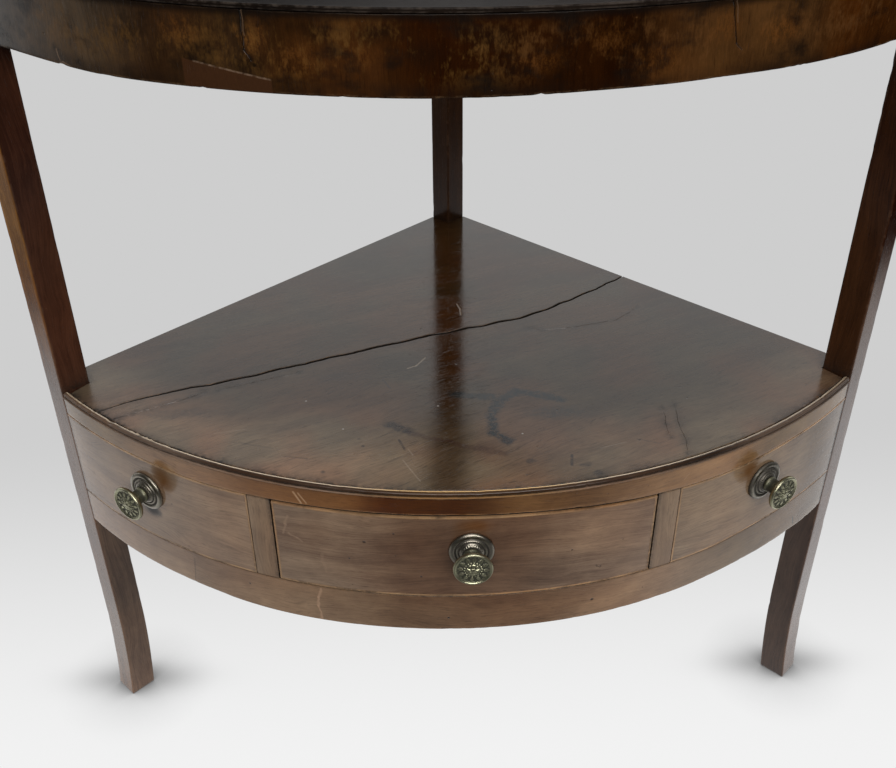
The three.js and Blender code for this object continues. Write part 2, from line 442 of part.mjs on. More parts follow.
const topOuter = () => {
  const phi = atLeg(LEG, 1)(R);
  return [[0, 0], sidePt(SIDE, 0, -1), sidePt(SIDE, LEG, -1), ...bowEdge(R, -phi, phi, STEPS).slice(1, -1), sidePt(SIDE, LEG, 1), sidePt(SIDE, 0, 1)];
};
const topBase = prism(quarter(R - 6 - GAP, atLeg(LEG + GAP, 1)(R - 6 - GAP)), TOP_SURFACE - TOP_T, TOP_SURFACE - TOP_LIP + 0.5);
const dowelAt = { left: [[80, 5], [300, 5]], right: [[80, 5], [300, 5]] };
const dowelPin = (t, n, side, r, z0, z1, seg) => {
  const [x, y] = sidePt(t, n, side);
  return prism(circle(x, y, r, seg), z0, z1);
};
const DOWEL_R = 3, DOWEL_Z0 = TOP_SURFACE - 6, DOWEL_Z1 = TOP_SURFACE + 13;
const holes = [circle(0, BASIN_Y, BASIN_R, 72), circle(-CUP_X, CUP_Y, CUP_R, 36), circle(CUP_X, CUP_Y, CUP_R, 36)];
let topBoard = join(cut(topBase, backNotch(TOP_SURFACE - TOP_T - 5, TOP_SURFACE)), prism(topOuter(), TOP_SURFACE - TOP_LIP, TOP_SURFACE));
topBoard = cut(topBoard, ...holes.map((h) => prism(h, TOP_SURFACE - 30, TOP_SURFACE + 30)),
  ...['left', 'right'].flatMap((k, i) => dowelAt[k].map(([t, n]) => dowelPin(t, n, i ? 1 : -1, DOWEL_R + GAP, DOWEL_Z0 - GAP, DOWEL_Z1, 12))));
add('top_board', topBoard, 'dark');

// splash-back: two shaped boards, mitred in the corner, pinned to the top
function splashOutline() {
  const base = TOP_SURFACE + GAP, o = [[0, base], [SPLASH_LEN, base], [SPLASH_LEN, base + SPLASH_END - 5]];
  for (let i = 1; i <= 4; i++) { const a = (i / 4) * Math.PI / 2; o.push([SPLASH_LEN - 5 + 5 * Math.cos(a), base + SPLASH_END - 5 + 5 * Math.sin(a)]); }
  const t1 = SPLASH_LEN - 40, t2 = 190, h1 = base + SPLASH_END, h2 = base + SPLASH_H;
  for (let i = 0; i <= 18; i++) {      // an ogee sweep from the low front end up to the corner
    const f = i / 18, e = f < 0.5 ? 2 * f * f : 1 - 2 * (1 - f) * (1 - f);
    o.push([t1 + (t2 - t1) * f, h1 + (h2 - h1) * e]);
  }
  o.push([0, h2]);
  return o;
}
each((name, side) => {
  const flat = new THREE.ExtrudeGeometry(new THREE.Shape(splashOutline().map((p) => new THREE.Vector2(...p))), { depth: SPLASH_T, bevelEnabled: false });
  // shape x runs along the side (t), shape y is height, extrusion runs inward (n)
  const m = new THREE.Matrix4().set(side * S, 0, -side * S, 0, -S, 0, -S, 0, 0, 1, 0, 0, 0, 0, 0, 1);
  const g = flat.applyMatrix4(m);
  if (m.determinant() < 0) {
    const a = g.attributes.position.array;
    for (let i = 0; i < a.length; i += 9) for (let k = 0; k < 3; k++) { const v = a[i + 3 + k]; a[i + 3 + k] = a[i + 6 + k]; a[i + 6 + k] = v; }
    g.computeVertexNormals();
  }
  const mitre = box(side < 0 ? -0.15 : -60, side < 0 ? 60 : 0.15, -60, 60, 500, 800);
  add(`splashback_${name}`, cut(g, mitre, ...dowelAt[name].map(([t, n]) => dowelPin(t, n, side, DOWEL_R + GAP, TOP_SURFACE - 2, DOWEL_Z1 + GAP, 12))), 'dark');
  dowelAt[name].forEach(([t, n], i) => add(`splash_dowel_${name}_${i ? 'front' : 'back'}`, dowelPin(t, n, side, DOWEL_R, DOWEL_Z0, DOWEL_Z1, 12), 'pine'));
  add(`frieze_block_${name}`, sideBox(side, 190, 260, inside, inside + 13, friezeSideTop - 14, friezeSideTop), 'pine');
});

export default stand;
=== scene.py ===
import math
import bpy
import numpy as np
from mathutils import Matrix, Vector
from mathutils.geometry import delaunay_2d_cdt


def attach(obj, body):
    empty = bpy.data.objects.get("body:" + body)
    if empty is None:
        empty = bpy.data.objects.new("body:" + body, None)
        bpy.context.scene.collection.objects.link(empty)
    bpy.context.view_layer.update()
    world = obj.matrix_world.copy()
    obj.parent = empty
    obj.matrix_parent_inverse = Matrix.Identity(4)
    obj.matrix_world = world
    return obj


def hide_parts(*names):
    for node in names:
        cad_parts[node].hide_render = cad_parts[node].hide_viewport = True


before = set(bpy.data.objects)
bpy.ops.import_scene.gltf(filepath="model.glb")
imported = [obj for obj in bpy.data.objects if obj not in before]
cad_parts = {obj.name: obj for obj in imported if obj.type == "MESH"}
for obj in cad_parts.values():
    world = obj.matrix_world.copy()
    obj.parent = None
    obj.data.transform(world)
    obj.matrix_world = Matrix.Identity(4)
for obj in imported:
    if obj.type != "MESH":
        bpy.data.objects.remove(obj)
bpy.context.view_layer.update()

# ------------------------------------------------------------------ sizes, millimetres
# x and z are the frame's own; y is measured from the back corner and shifted at the end
S = math.sqrt(0.5)
SIDE, LEG, POST, BC = 430.0, 22.0, 21.0, 49.3
LEG_SPLAY, SPLAY_FROM = 5.0, 95.0
SHELF_TOP, SHELF_T, CASE_BOTTOM = 320.0, 9.0, 202.0
LRT, URB, URT = 232.1, 303.2, 316.9
FRIEZE_BOTTOM, TOP_SURFACE, TOP_LIP, TOP_T = 572.5, 615.5, 2.9, 9.0
CST, CSI = 10.0, 1.0
OPEN_HALF, STILE_OUT, DRAWER_HALF = 128.1, 144.2, 127.2
DZ0, DZ1, DFT, DST, DBY = 232.7, 301.6, 16.0, 9.0, -150.0
LINE, LINE_D, GAP, DUMMY_T = 1.3, 1.5, 0.3, 14.0
KNOBS = {"left": (-34.1, 275.6), "centre": (0.5, 274.0), "right": (32.5, 277.6)}
BASIN_R, BASIN_Y, CUP_R, CUP_X, CUP_Y = 127.0, -258.0, 38.0, 205.0, -290.0
SPLASH_T, SPLASH_H, SPLASH_END, SPLASH_LEN = 9.0, 108.0, 20.0, 424.0


def side_pt(t, n, side):
    return (side * (t - n) * S, -(t + n) * S)


_a2 = side_pt(SIDE, LEG, 1)
R = math.hypot(_a2[0], _a2[1] + BC)
YS = (BC + R + 20.6) / 2
LEG_TOP = TOP_SURFACE - TOP_LIP - GAP
CASE_TOP = SHELF_TOP - SHELF_T - GAP
FRIEZE_SIDE_TOP = TOP_SURFACE - TOP_T - GAP
MID0, MID1 = LRT + GAP, URB - GAP


def at_leg(n, side):
    return lambda r: side * (math.acos((n - BC * S) / r) - math.pi / 4)


def at_x(x):
    return lambda r: math.asin(max(-1.0, min(1.0, x / r)))


def bow(phi, r):
    return np.stack([r * np.sin(phi), -BC - r * np.cos(phi)], -1)


# the front's long lines were worked by eye: how far off level, at every three degrees from -48 to 48
WANDER = {
    "case": [0, 0, 0, 0, 0, 0, -0.2, -0.9, -1.9, -2.4, -2.5, -2.4, -2.2, -1.9, -1.7, -1.6, -1.5, -1.3, -1.2, -1.1, -0.9, -0.6, 0, 0.6, 1.3, 2.4, 3.1, 3.0, 2.8, 2.2, 0.6, -0.6, -1.2],
    "lower": [0, 0, 0, 0, 0, 0, 0, 0, 0, 0, 0, 0, 0, 0, 0, 0, 0, 0, 0, 0, 0, 0, 0.2, 0.5, 0.8, 1.4, 2.9, 3.8, 4.2, 4.3, 3.7, 2.6, 1.2],
    "upper": [0, 0, 0, 0, 0, -0.2, -0.7, -1.2, -1.1, -0.7, -0.3, 0, 0, 0, 0, 0, 0, -0.2, -0.5, -1.0, -1.7, -2.6, -3.1, -3.4, -3.7, -3.5, -2.8, -1.6, -0.8, -0.4, -0.2, 0, 0],
    "frieze": [2.2, 2.1, 2.0, 1.9, 1.2, 0.2, -0.6, -0.8, -0.7, -0.6, -0.6, -0.6, -0.6, -0.6, -0.7, -0.7, -0.5, -0.2, 0.2, 0.6, 0.8, 0.9, 1.2, 1.4, 1.2, 1.1, 1.2, 1.3, 1.6, 1.8, 1.9, 1.9, 2.0],
}


def wander_at(phi, z):
    """how far a point at this angle and nominal height is moved up"""
    s = np.clip((np.degrees(phi) + 48.0) / 3.0, 0, 32 - 1e-6)
    i = np.floor(s).astype(int)
    f = s - i

    def at(name):
        row = np.array(WANDER[name], float)
        a, b, c, d = (row[np.clip(i + k, 0, 32)] for k in (-1, 0, 1, 2))
        return b + 0.5 * f * (c - a + f * (2 * a - 5 * b + 4 * c - d + f * (3 * (b - c) + d - a)))
    cb, lo, up, fr = at("case"), at("lower"), at("upper"), at("frieze")
    u = np.clip((z - CASE_BOTTOM) / (LRT - CASE_BOTTOM), 0, 1)
    v = np.clip((z - LRT) / (URB - LRT), 0, 1)
    w = np.clip((z - URB) / (CASE_TOP - URB), 0, 1)
    low = np.where(z < LRT, cb + (lo - cb) * u, np.where(z < URB, lo + (up - lo) * v, up * (1 - w)))
    return np.where(z < 400.0, low, fr * (1 - np.clip((z - FRIEZE_BOTTOM) / 18.0, 0, 1)))


def bow_phi(V):
    return np.arctan2(V[:, 0], -(V[:, 1] + BC))


def off_level(V):
    V = V.copy()
    V[:, 2] += wander_at(bow_phi(V), V[:, 2])
    return V


def level(V):
    """the nominal places of points that were moved off level"""
    V = V.copy()
    phi, z = bow_phi(V), V[:, 2].copy()
    for _ in range(5):
        V[:, 2] = z - wander_at(phi, V[:, 2])
    return V


# ------------------------------------------------------------------ smooth noise for shapes
def _hash(i, j, k, seed):
    h = (i.astype(np.uint64) * np.uint64(73856093)) ^ (j.astype(np.uint64) * np.uint64(19349663)) \
        ^ (k.astype(np.uint64) * np.uint64(83492791)) ^ np.uint64(seed * 2654435761 % 4294967296)
    h = h & np.uint64(0xffffffff)
    h = (h ^ (h >> np.uint64(13))) * np.uint64(1274126177) & np.uint64(0xffffffff)
    h = (h ^ (h >> np.uint64(16))) & np.uint64(0xffff)
    return h.astype(float) / 65535.0 * 2 - 1


def noise3(p, seed=1):
    p = np.asarray(p, float)
    base = np.floor(p)
    f = p - base
    f = f * f * (3 - 2 * f)
    b = (base.astype(np.int64) + 100000)
    out = 0
    for dx in (0, 1):
        for dy in (0, 1):
            for dz in (0, 1):
                w = (f[:, 0] if dx else 1 - f[:, 0]) * (f[:, 1] if dy else 1 - f[:, 1]) * (f[:, 2] if dz else 1 - f[:, 2])
                out = out + w * _hash(b[:, 0] + dx, b[:, 1] + dy, b[:, 2] + dz, seed)
    return out


def fbm(p, seed=1, octaves=3):
    p = np.asarray(p, float)
    out, amp = 0, 1.0
    for o in range(octaves):
        out = out + amp * noise3(p * (2.03 ** o) + 17.3 * o, seed + o)
        amp *= 0.5
    return out


def noise1(x, seed=1, octaves=3):
    x = np.atleast_1d(np.asarray(x, float))
    return fbm(np.stack([x, x * 0 + 0.37, x * 0 + 0.71], -1), seed, octaves)


def smooth01(x):
    x = np.clip(x, 0, 1)
    return x * x * (3 - 2 * x)


# ------------------------------------------------------------------ outlines
def area2(p):
    p = np.asarray(p)
    q = np.roll(p, -1, 0)
    return float(np.sum(p[:, 0] * q[:, 1] - q[:, 0] * p[:, 1]))


def offset_loop(p, d):
    """move a closed loop inwards (to its left when anticlockwise) by d"""
    p = np.asarray(p, float)
    e = np.roll(p, -1, 0) - p
    e /= np.maximum(np.linalg.norm(e, axis=1, keepdims=True), 1e-9)
    n = np.stack([-e[:, 1], e[:, 0]], -1)
    m = n + np.roll(n, 1, 0)
    m /= np.maximum(np.linalg.norm(m, axis=1, keepdims=True), 1e-9)
    c = np.clip(np.sum(m * n, 1, keepdims=True), 0.45, 1)
    return p + m * d / c


def refine(p, step, closed=True):
    p = np.asarray(p, float)
    out = []
    n = len(p)
    for i in range(n if closed else n - 1):
        a, b = p[i], p[(i + 1) % n]
        k = max(1, int(math.ceil(np.linalg.norm(b - a) / step)))
        for j in range(k):
            out.append(a + (b - a) * j / k)
    if not closed:
        out.append(p[-1])
    return np.array(out)


def round_section(corners, step=5.0, seg=3, support=1.3):
    """corners: (r, z, radius) anticlockwise or clockwise; returns points and how exposed each is"""
    pts, wear_and_highlight = [], []
    n = len(corners)
    for i in range(n):
        p0, p1, p2 = (np.array(corners[k % n][:2], float) for k in (i - 1, i, i + 1))
        rad = corners[i][2]
        a, b = p0 - p1, p2 - p1
        la, lb = np.linalg.norm(a), np.linalg.norm(b)
        a, b = a / la, b / lb
        ang = math.acos(max(-1, min(1, float(a @ b))))
        if rad <= 0 or ang > math.pi - 0.05:
            pts.append(p1); wear_and_highlight.append(0.0)
            continue
        t = min(rad / math.tan(ang / 2), 0.45 * la, 0.45 * lb)
        s0 = min(t + support, 0.48 * la)
        s1 = min(t + support, 0.48 * lb)
        cross = a[0] * b[1] - a[1] * b[0]
        if s0 > t * 1.2:
            pts.append(p1 + a * s0); wear_and_highlight.append(0.0)
        q0, q1 = p1 + a * t, p1 + b * t
        for k in range(seg + 1):
            u = k / seg
            pts.append((1 - u) ** 2 * q0 + 2 * u * (1 - u) * p1 * 1.0 + u ** 2 * q1)
            wear_and_highlight.append(1.0)
        if s1 > t * 1.2:
            pts.append(p1 + b * s1); wear_and_highlight.append(0.0)
    pts, wear_and_highlight = np.array(pts), np.array(wear_and_highlight)
    # split the long flats
    P, W = [], []
    for i in range(len(pts)):
        a, b = pts[i], pts[(i + 1) % len(pts)]
        wa, wb = wear_and_highlight[i], wear_and_highlight[(i + 1) % len(pts)]
        P.append(a); W.append(wa)
        k = int(np.linalg.norm(b - a) // step)
        for j in range(1, k + 1):
            u = j / (k + 1)
            P.append(a + (b - a) * u); W.append(wa + (wb - wa) * u)
    return np.array(P), np.array(W)


# ------------------------------------------------------------------ pieces
MATS = {}
PIECES = []


class Mesh:
    """vertices in millimetres, faces, and one exposure value for each vertex"""
    def __init__(self):
        self.v, self.f, self.w = [], [], []
        self.n = 0

    def add(self, v, f, w=None):
        v = np.asarray(v, float)
        self.v.append(v)
        self.f += [tuple(int(i) + self.n for i in q) for q in f]
        self.w.append(np.zeros(len(v)) if w is None else np.broadcast_to(np.asarray(w, float), (len(v),)))
        self.n += len(v)
        return self

    def verts(self):
        return np.concatenate(self.v)

    def wear_and_highlight(self):
        return np.concatenate(self.w)


def put(name, mesh, mat, body="stand", nodes=None, slot="mahogany", gc=None, tone=None, dirt_and_shade=None, crease=48.0, wn=True, wear_and_highlight=None, mul=None):
    V = mesh.verts() if isinstance(mesh, Mesh) else mesh[0]
    F = mesh.f if isinstance(mesh, Mesh) else mesh[1]
    W = mesh.wear_and_highlight() if isinstance(mesh, Mesh) else (mesh[2] if len(mesh) > 2 else np.zeros(len(V)))
    if wear_and_highlight is not None:
        W = wear_and_highlight(V, W)
    me = bpy.data.meshes.new(name)
    P = V.copy()
    P[:, 1] += YS
    P /= 1000.0
    me.from_pydata(P.tolist(), [], [list(map(int, f)) for f in F])
    me.update()
    me.polygons.foreach_set("use_smooth", [True] * len(me.polygons))
    me.set_sharp_from_angle(angle=math.radians(crease))
    ob = bpy.data.objects.new(name, me)
    bpy.context.scene.collection.objects.link(ob)
    vec_attr(me, "gc", (gc(V) if gc else V) / 1000.0)
    r = np.hypot(V[:, 0], V[:, 1] + BC)
    phi = np.arctan2(V[:, 0], -(V[:, 1] + BC))
    vec_attr(me, "fp", np.stack([R * phi, V[:, 2], r - R], -1) / 1000.0)
    flt_attr(me, "wear_and_highlight", W)
    flt_attr(me, "tone", tone(V) if tone else np.zeros(len(V)))
    flt_attr(me, "dirt_and_shade", dirt_and_shade(V) if dirt_and_shade else np.zeros(len(V)))
    vec_attr(me, "mul", mul(V) if mul else np.ones((len(V), 3)))
    me.materials.append(mat)
    if wn:
        m = ob.modifiers.new("wn", "WEIGHTED_NORMAL")
        m.keep_sharp = True
        m.weight = 60
    PIECES.append(dict(ob=ob, body=body, nodes=nodes if nodes is not None else (name,), slot=slot))
    return ob


def vec_attr(me, name, values):
    a = me.attributes.new(name, "FLOAT_VECTOR", "POINT")
    a.data.foreach_set("vector", np.asarray(values, np.float32).ravel())


def flt_attr(me, name, values):
    a = me.attributes.new(name, "FLOAT", "POINT")
    a.data.foreach_set("value", np.asarray(values, np.float32).ravel())


def bow_bar(sec, wear_and_highlight, end_a, end_b, step=3.0, bev=0.5, nick=0.0, seed=1):
    """a bar along the bow with eased end arrises"""
    length = abs(end_b(R) - end_a(R)) * R
    sec = np.asarray(sec, float)
    if area2(sec) < 0:
        sec, wear_and_highlight = sec[::-1], wear_and_highlight[::-1]
    m = max(2, int(length // step))
    inner = list(np.linspace(bev, length - bev, m + 1))
    dist = [(0.0, bev), (0.3 * bev, 0.3 * bev)] + [(d, 0.0) for d in inner] + [(length - 0.3 * bev, 0.3 * bev), (length, bev)]
    rings, W = [], []
    for d, inset in dist:
        s = offset_loop(sec, inset) if inset > 0 else sec
        fr = d / length
        ra = np.array([end_a(x) for x in s[:, 0]])
        rb = np.array([end_b(x) for x in s[:, 0]])
        phi = ra * (1 - fr) + rb * fr
        xy = bow(phi, s[:, 0])
        rings.append(np.column_stack([xy, s[:, 1]]))
        W.append(np.maximum(wear_and_highlight, 1.0 if inset > 0 else 0.0))
    n = len(sec)
    V = np.concatenate(rings)
    Wv = np.concatenate(W)
    F = []
    k = len(rings)
    for i in range(k - 1):
        for j in range(n):
            a, b = i * n + j, i * n + (j + 1) % n
            F.append((a, b, b + n, a + n))
    F.append(tuple(range(n - 1, -1, -1)))
    F.append(tuple(range((k - 1) * n, k * n)))
    if end_b(R) < end_a(R):
        F = [f[::-1] for f in F]
    F = [f[::-1] for f in F]
    if nick:
        # worn arrises: pull exposed points in, towards the middle of the section
        c = sec.mean(0)
        r = np.hypot(V[:, 0], V[:, 1] + BC)
        phi = np.arctan2(V[:, 0], -(V[:, 1] + BC))
        amt = np.clip(fbm(V / 9.0, seed, 3) * 0.6 - 0.1, 0, 1) * nick + np.clip(fbm(V / 2.6, seed + 9, 2) - 0.75, 0, 1) * nick * 2
        amt = amt * Wv
        dr, dz = c[0] - r, c[1] - V[:, 2]
        q = np.maximum(np.hypot(np.sign(dr), np.sign(dz)), 1e-6)
        r2 = r + np.sign(dr) / q * amt
        V[:, 2] += np.sign(dz) / q * amt
        V[:, :2] = bow(phi, r2)
    out = Mesh()
    out.add(off_level(V), F, Wv)
    return out


def inside_poly(p, poly):
    x, y = p[:, 0][:, None], p[:, 1][:, None]
    a = np.asarray(poly)
    b = np.roll(a, -1, 0)
    cond = (a[None, :, 1] > y) != (b[None, :, 1] > y)
    with np.errstate(divide="ignore", invalid="ignore"):
        xi = (b[:, 0] - a[:, 0]) * (y - a[:, 1]) / (b[:, 1] - a[:, 1]) + a[:, 0]
    return (np.sum(cond & (x < xi), 1) % 2) == 1


def tri_fill(loops, spacing, lines=(), seed=3, jitter=0.25):
    """triangles inside the first loop and outside the others, with inner points about spacing apart"""
    pts, edges = [], []
    for lp in loops:
        k = len(pts)
        pts += [tuple(q) for q in lp]
        edges += [(k + i, k + (i + 1) % len(lp)) for i in range(len(lp))]
    for ln in lines:
        k = len(pts)
        pts += [tuple(q) for q in ln]
        edges += [(k + i, k + i + 1) for i in range(len(ln) - 1)]
    nfix = len(pts)
    if spacing:
        lo, hi = np.min(loops[0], 0), np.max(loops[0], 0)
        xs = np.arange(lo[0], hi[0], spacing)
        ys = np.arange(lo[1], hi[1], spacing * 0.866)
        gx, gy = np.meshgrid(xs, ys)
        gx = gx + (np.arange(len(ys)) % 2)[:, None] * spacing * 0.5
        g = np.stack([gx.ravel(), gy.ravel()], -1)
        rs = np.random.RandomState(seed)
        g = g + rs.uniform(-jitter, jitter, g.shape) * spacing
        keep = inside_poly(g, loops[0])
        for h in loops[1:]:
            keep &= ~inside_poly(g, h)
        g = g[keep]
        fixed = np.array(pts)
        ok = np.ones(len(g), bool)
        for s0 in range(0, len(g), 2000):
            blk = g[s0:s0 + 2000]
            dmin = np.full(len(blk), 1e9)
            for f0 in range(0, len(fixed), 1500):
                ff = fixed[f0:f0 + 1500]
                dd = np.sqrt(((blk[:, None, :] - ff[None, :, :]) ** 2).sum(-1)).min(1)
                dmin = np.minimum(dmin, dd)
            ok[s0:s0 + 2000] = dmin > spacing * 0.45
        pts += [tuple(q) for q in g[ok]]
    res = delaunay_2d_cdt([Vector(p) for p in pts], edges, [], 0, 1e-7, True)
    v, e, f = res[0], res[1], res[2]
    V = np.array([(q.x, q.y) for q in v])
    src = res[3]
    back = {}
    for new, olds in enumerate(src):
        for o in olds:
            back[o] = new
    T = np.array([t for t in f if len(t) == 3])
    c = V[T].mean(1)
    keep = inside_poly(c, loops[0])
    for h in loops[1:]:
        keep &= ~inside_poly(c, h)
    return V, T[keep], back, nfix


def slab(loops, z0, z1, spacing, bev=0.5, seg=3, lines=(), top_fn=None, mapping=None, seed=3, support=1.4, coarse_bottom=True, wall=4.0, edge_fn=None):
    """a board: plan loops (first one the outline), between two heights, with eased edges"""
    loops = [np.asarray(l, float) for l in loops]
    loops = [l if (area2(l) > 0) == (i == 0) else l[::-1] for i, l in enumerate(loops)]
    out = Mesh()
    inner = [offset_loop(l, bev + support) for l in loops]
    V2, T, back, _ = tri_fill(inner, spacing, lines, seed)
    nt = len(V2)
    top = np.column_stack([V2, np.full(nt, z1)])
    bot = np.column_stack([V2, np.full(nt, z0)])
    if top_fn is not None:
        top[:, 2] += top_fn(V2)
    out.add(np.concatenate([top, bot]), [tuple(t) for t in T] + [tuple(t[::-1] + nt) for t in T], 0.0)
    base = 0
    start = 0
    for li, l in enumerate(loops):
        n = len(l)
        idx_top = [back[start + i] for i in range(n)]
        idx_bot = [i + nt for i in idx_top]
        start += n
        prof = []
        for k in range(seg + 1):
            a = k / seg * math.pi / 2
            prof.append((bev * (1 - math.sin(a)), z1 - bev * (1 - math.cos(a)), 1.0))
        prof = [(bev + 0.0001, z1, 0.6)] + prof[1:] if seg else prof
        side_n = max(1, int((z1 - z0 - 2 * bev) // wall))
        mid = [(0.0, z1 - bev - (z1 - z0 - 2 * bev) * (k / (side_n + 1)), 0.25) for k in range(1, side_n + 1)]
        low = [(o, z0 + (z1 - z), w) for o, z, w in prof][::-1]
        prof = prof + mid + low
        rings = []
        for off, z, w in prof:
            q = offset_loop(l, off) if off > 0 else l
            rings.append((np.column_stack([q, np.full(n, z)]), w))
        first = out.n
        for q, w in rings:
            out.add(q, [], w)
        F = []
        for k in range(len(rings) - 1):
            for i in range(n):
                a, b = first + k * n + i, first + k * n + (i + 1) % n
                F.append((a, a + n, b + n, b))
        last = first + (len(rings) - 1) * n
        for i in range(n):
            j = (i + 1) % n
            F.append((idx_top[i], first + i, first + j, idx_top[j]))
            F.append((last + i, idx_bot[i], idx_bot[j], last + j))
        out.f += F
    V = out.verts()
    if edge_fn is not None:
        V = edge_fn(V, out.wear_and_highlight())
    if mapping is not None:
        V = mapping(V)
    m = Mesh()
    m.add(V, out.f, out.wear_and_highlight())
    # face outwards
    vol = 0.0
    v = m.verts()
    for f in m.f:
        p0 = v[f[0]]
        for a in range(1, len(f) - 1):
            vol += float(np.dot(p0, np.cross(v[f[a]], v[f[a + 1]])))
    if vol < 0:
        m.f = [f[::-1] for f in m.f]
    return m


def rbox(mapping, u, v, w, bev=0.5, step=6.0, seg=2):
    """a box in (u, v, w) with eased edges"""
    lp = refine([(u[0], v[0]), (u[1], v[0]), (u[1], v[1]), (u[0], v[1])], step)
    return slab([lp], w[0], w[1], step, bev=bev, seg=seg, mapping=mapping, wall=step)


def turned(profile, phi_deg, z, seg=64, relief=None, closed=False):
    """profile points (radius, distance out of the bow's face); relief(theta, r, d) adds to d"""
    ph = math.radians(phi_deg)
    prof = np.asarray(profile, float)
    th = np.linspace(0, 2 * np.pi, seg, endpoint=False)
    V, F = [], []
    idx = []
    for (r, d) in prof:
        if r < 1e-6:
            idx.append([len(V)])
            V.append((0.0, d, 0.0))
        else:
            idx.append(list(range(len(V), len(V) + seg)))
            for t in th:
                V.append((r * math.cos(t), d, r * math.sin(t)))
    V = np.array(V)
    if relief is not None:
        rr = np.hypot(V[:, 0], V[:, 2])
        tt = np.arctan2(V[:, 2], V[:, 0])
        V = relief(V, rr, tt)
    k = len(prof)
    for i in range(k if closed else k - 1):
        A, B = idx[i], idx[(i + 1) % k]
        for j in range(seg):
            a, a2 = A[j % len(A)], A[(j + 1) % len(A)]
            b, b2 = B[j % len(B)], B[(j + 1) % len(B)]
            if len(A) == 1 and len(B) == 1:
                continue
            if len(A) == 1:
                F.append((a, b2, b))
            elif len(B) == 1:
                F.append((a, a2, b))
            else:
                F.append((a, a2, b2, b))
    # local: x across, y out of the wood, z up  ->  the bow's place
    out = np.empty_like(V)
    c, s = math.cos(ph), math.sin(ph)
    base = np.array([R * s, -BC - R * c])
    # outward direction (s, -c); sideways direction (c, s)
    out[:, 0] = base[0] + V[:, 0] * c + V[:, 1] * s
    out[:, 1] = base[1] + V[:, 0] * s - V[:, 1] * c
    out[:, 2] = z + V[:, 2]
    m = Mesh()
    m.add(out, F)
    v = m.verts()
    vol = 0.0
    for f in m.f:
        p0 = v[f[0]]
        for a in range(1, len(f) - 1):
            vol += float(np.dot(p0 - out[0], np.cross(v[f[a]] - out[0], v[f[a + 1]] - out[0])))
    if vol < 0:
        m.f = [f[::-1] for f in m.f]
    return m, V


def cad_copy(node, bevel=0.4, seg=2):
    """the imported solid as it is, with its arrises eased, in millimetres measured like the rest"""
    src = bpy.data.objects[node] if node in bpy.data.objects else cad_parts[node]
    me = src.data.copy()
    ob = bpy.data.objects.new("tmp_" + node, me)
    bpy.context.scene.collection.objects.link(ob)
    b = ob.modifiers.new("d", "DECIMATE")
    b.decimate_type = "DISSOLVE"
    b.angle_limit = math.radians(0.5)
    b = ob.modifiers.new("b", "BEVEL")
    b.width = bevel / 1000.0
    b.segments = seg
    b.limit_method = "ANGLE"
    b.angle_limit = math.radians(28)
    b.use_clamp_overlap = True
    dg = bpy.context.evaluated_depsgraph_get()
    ev = ob.evaluated_get(dg)
    m2 = bpy.data.meshes.new_from_object(ev)
    V = np.empty(len(m2.vertices) * 3)
    m2.vertices.foreach_get("co", V)
    V = V.reshape(-1, 3) * 1000.0
    V[:, 1] -= YS
    F = [tuple(p.vertices) for p in m2.polygons]
    bpy.data.objects.remove(ob)
    bpy.data.meshes.remove(m2)
    bpy.data.meshes.remove(me)
    m = Mesh()
    m.add(V, F)
    return m


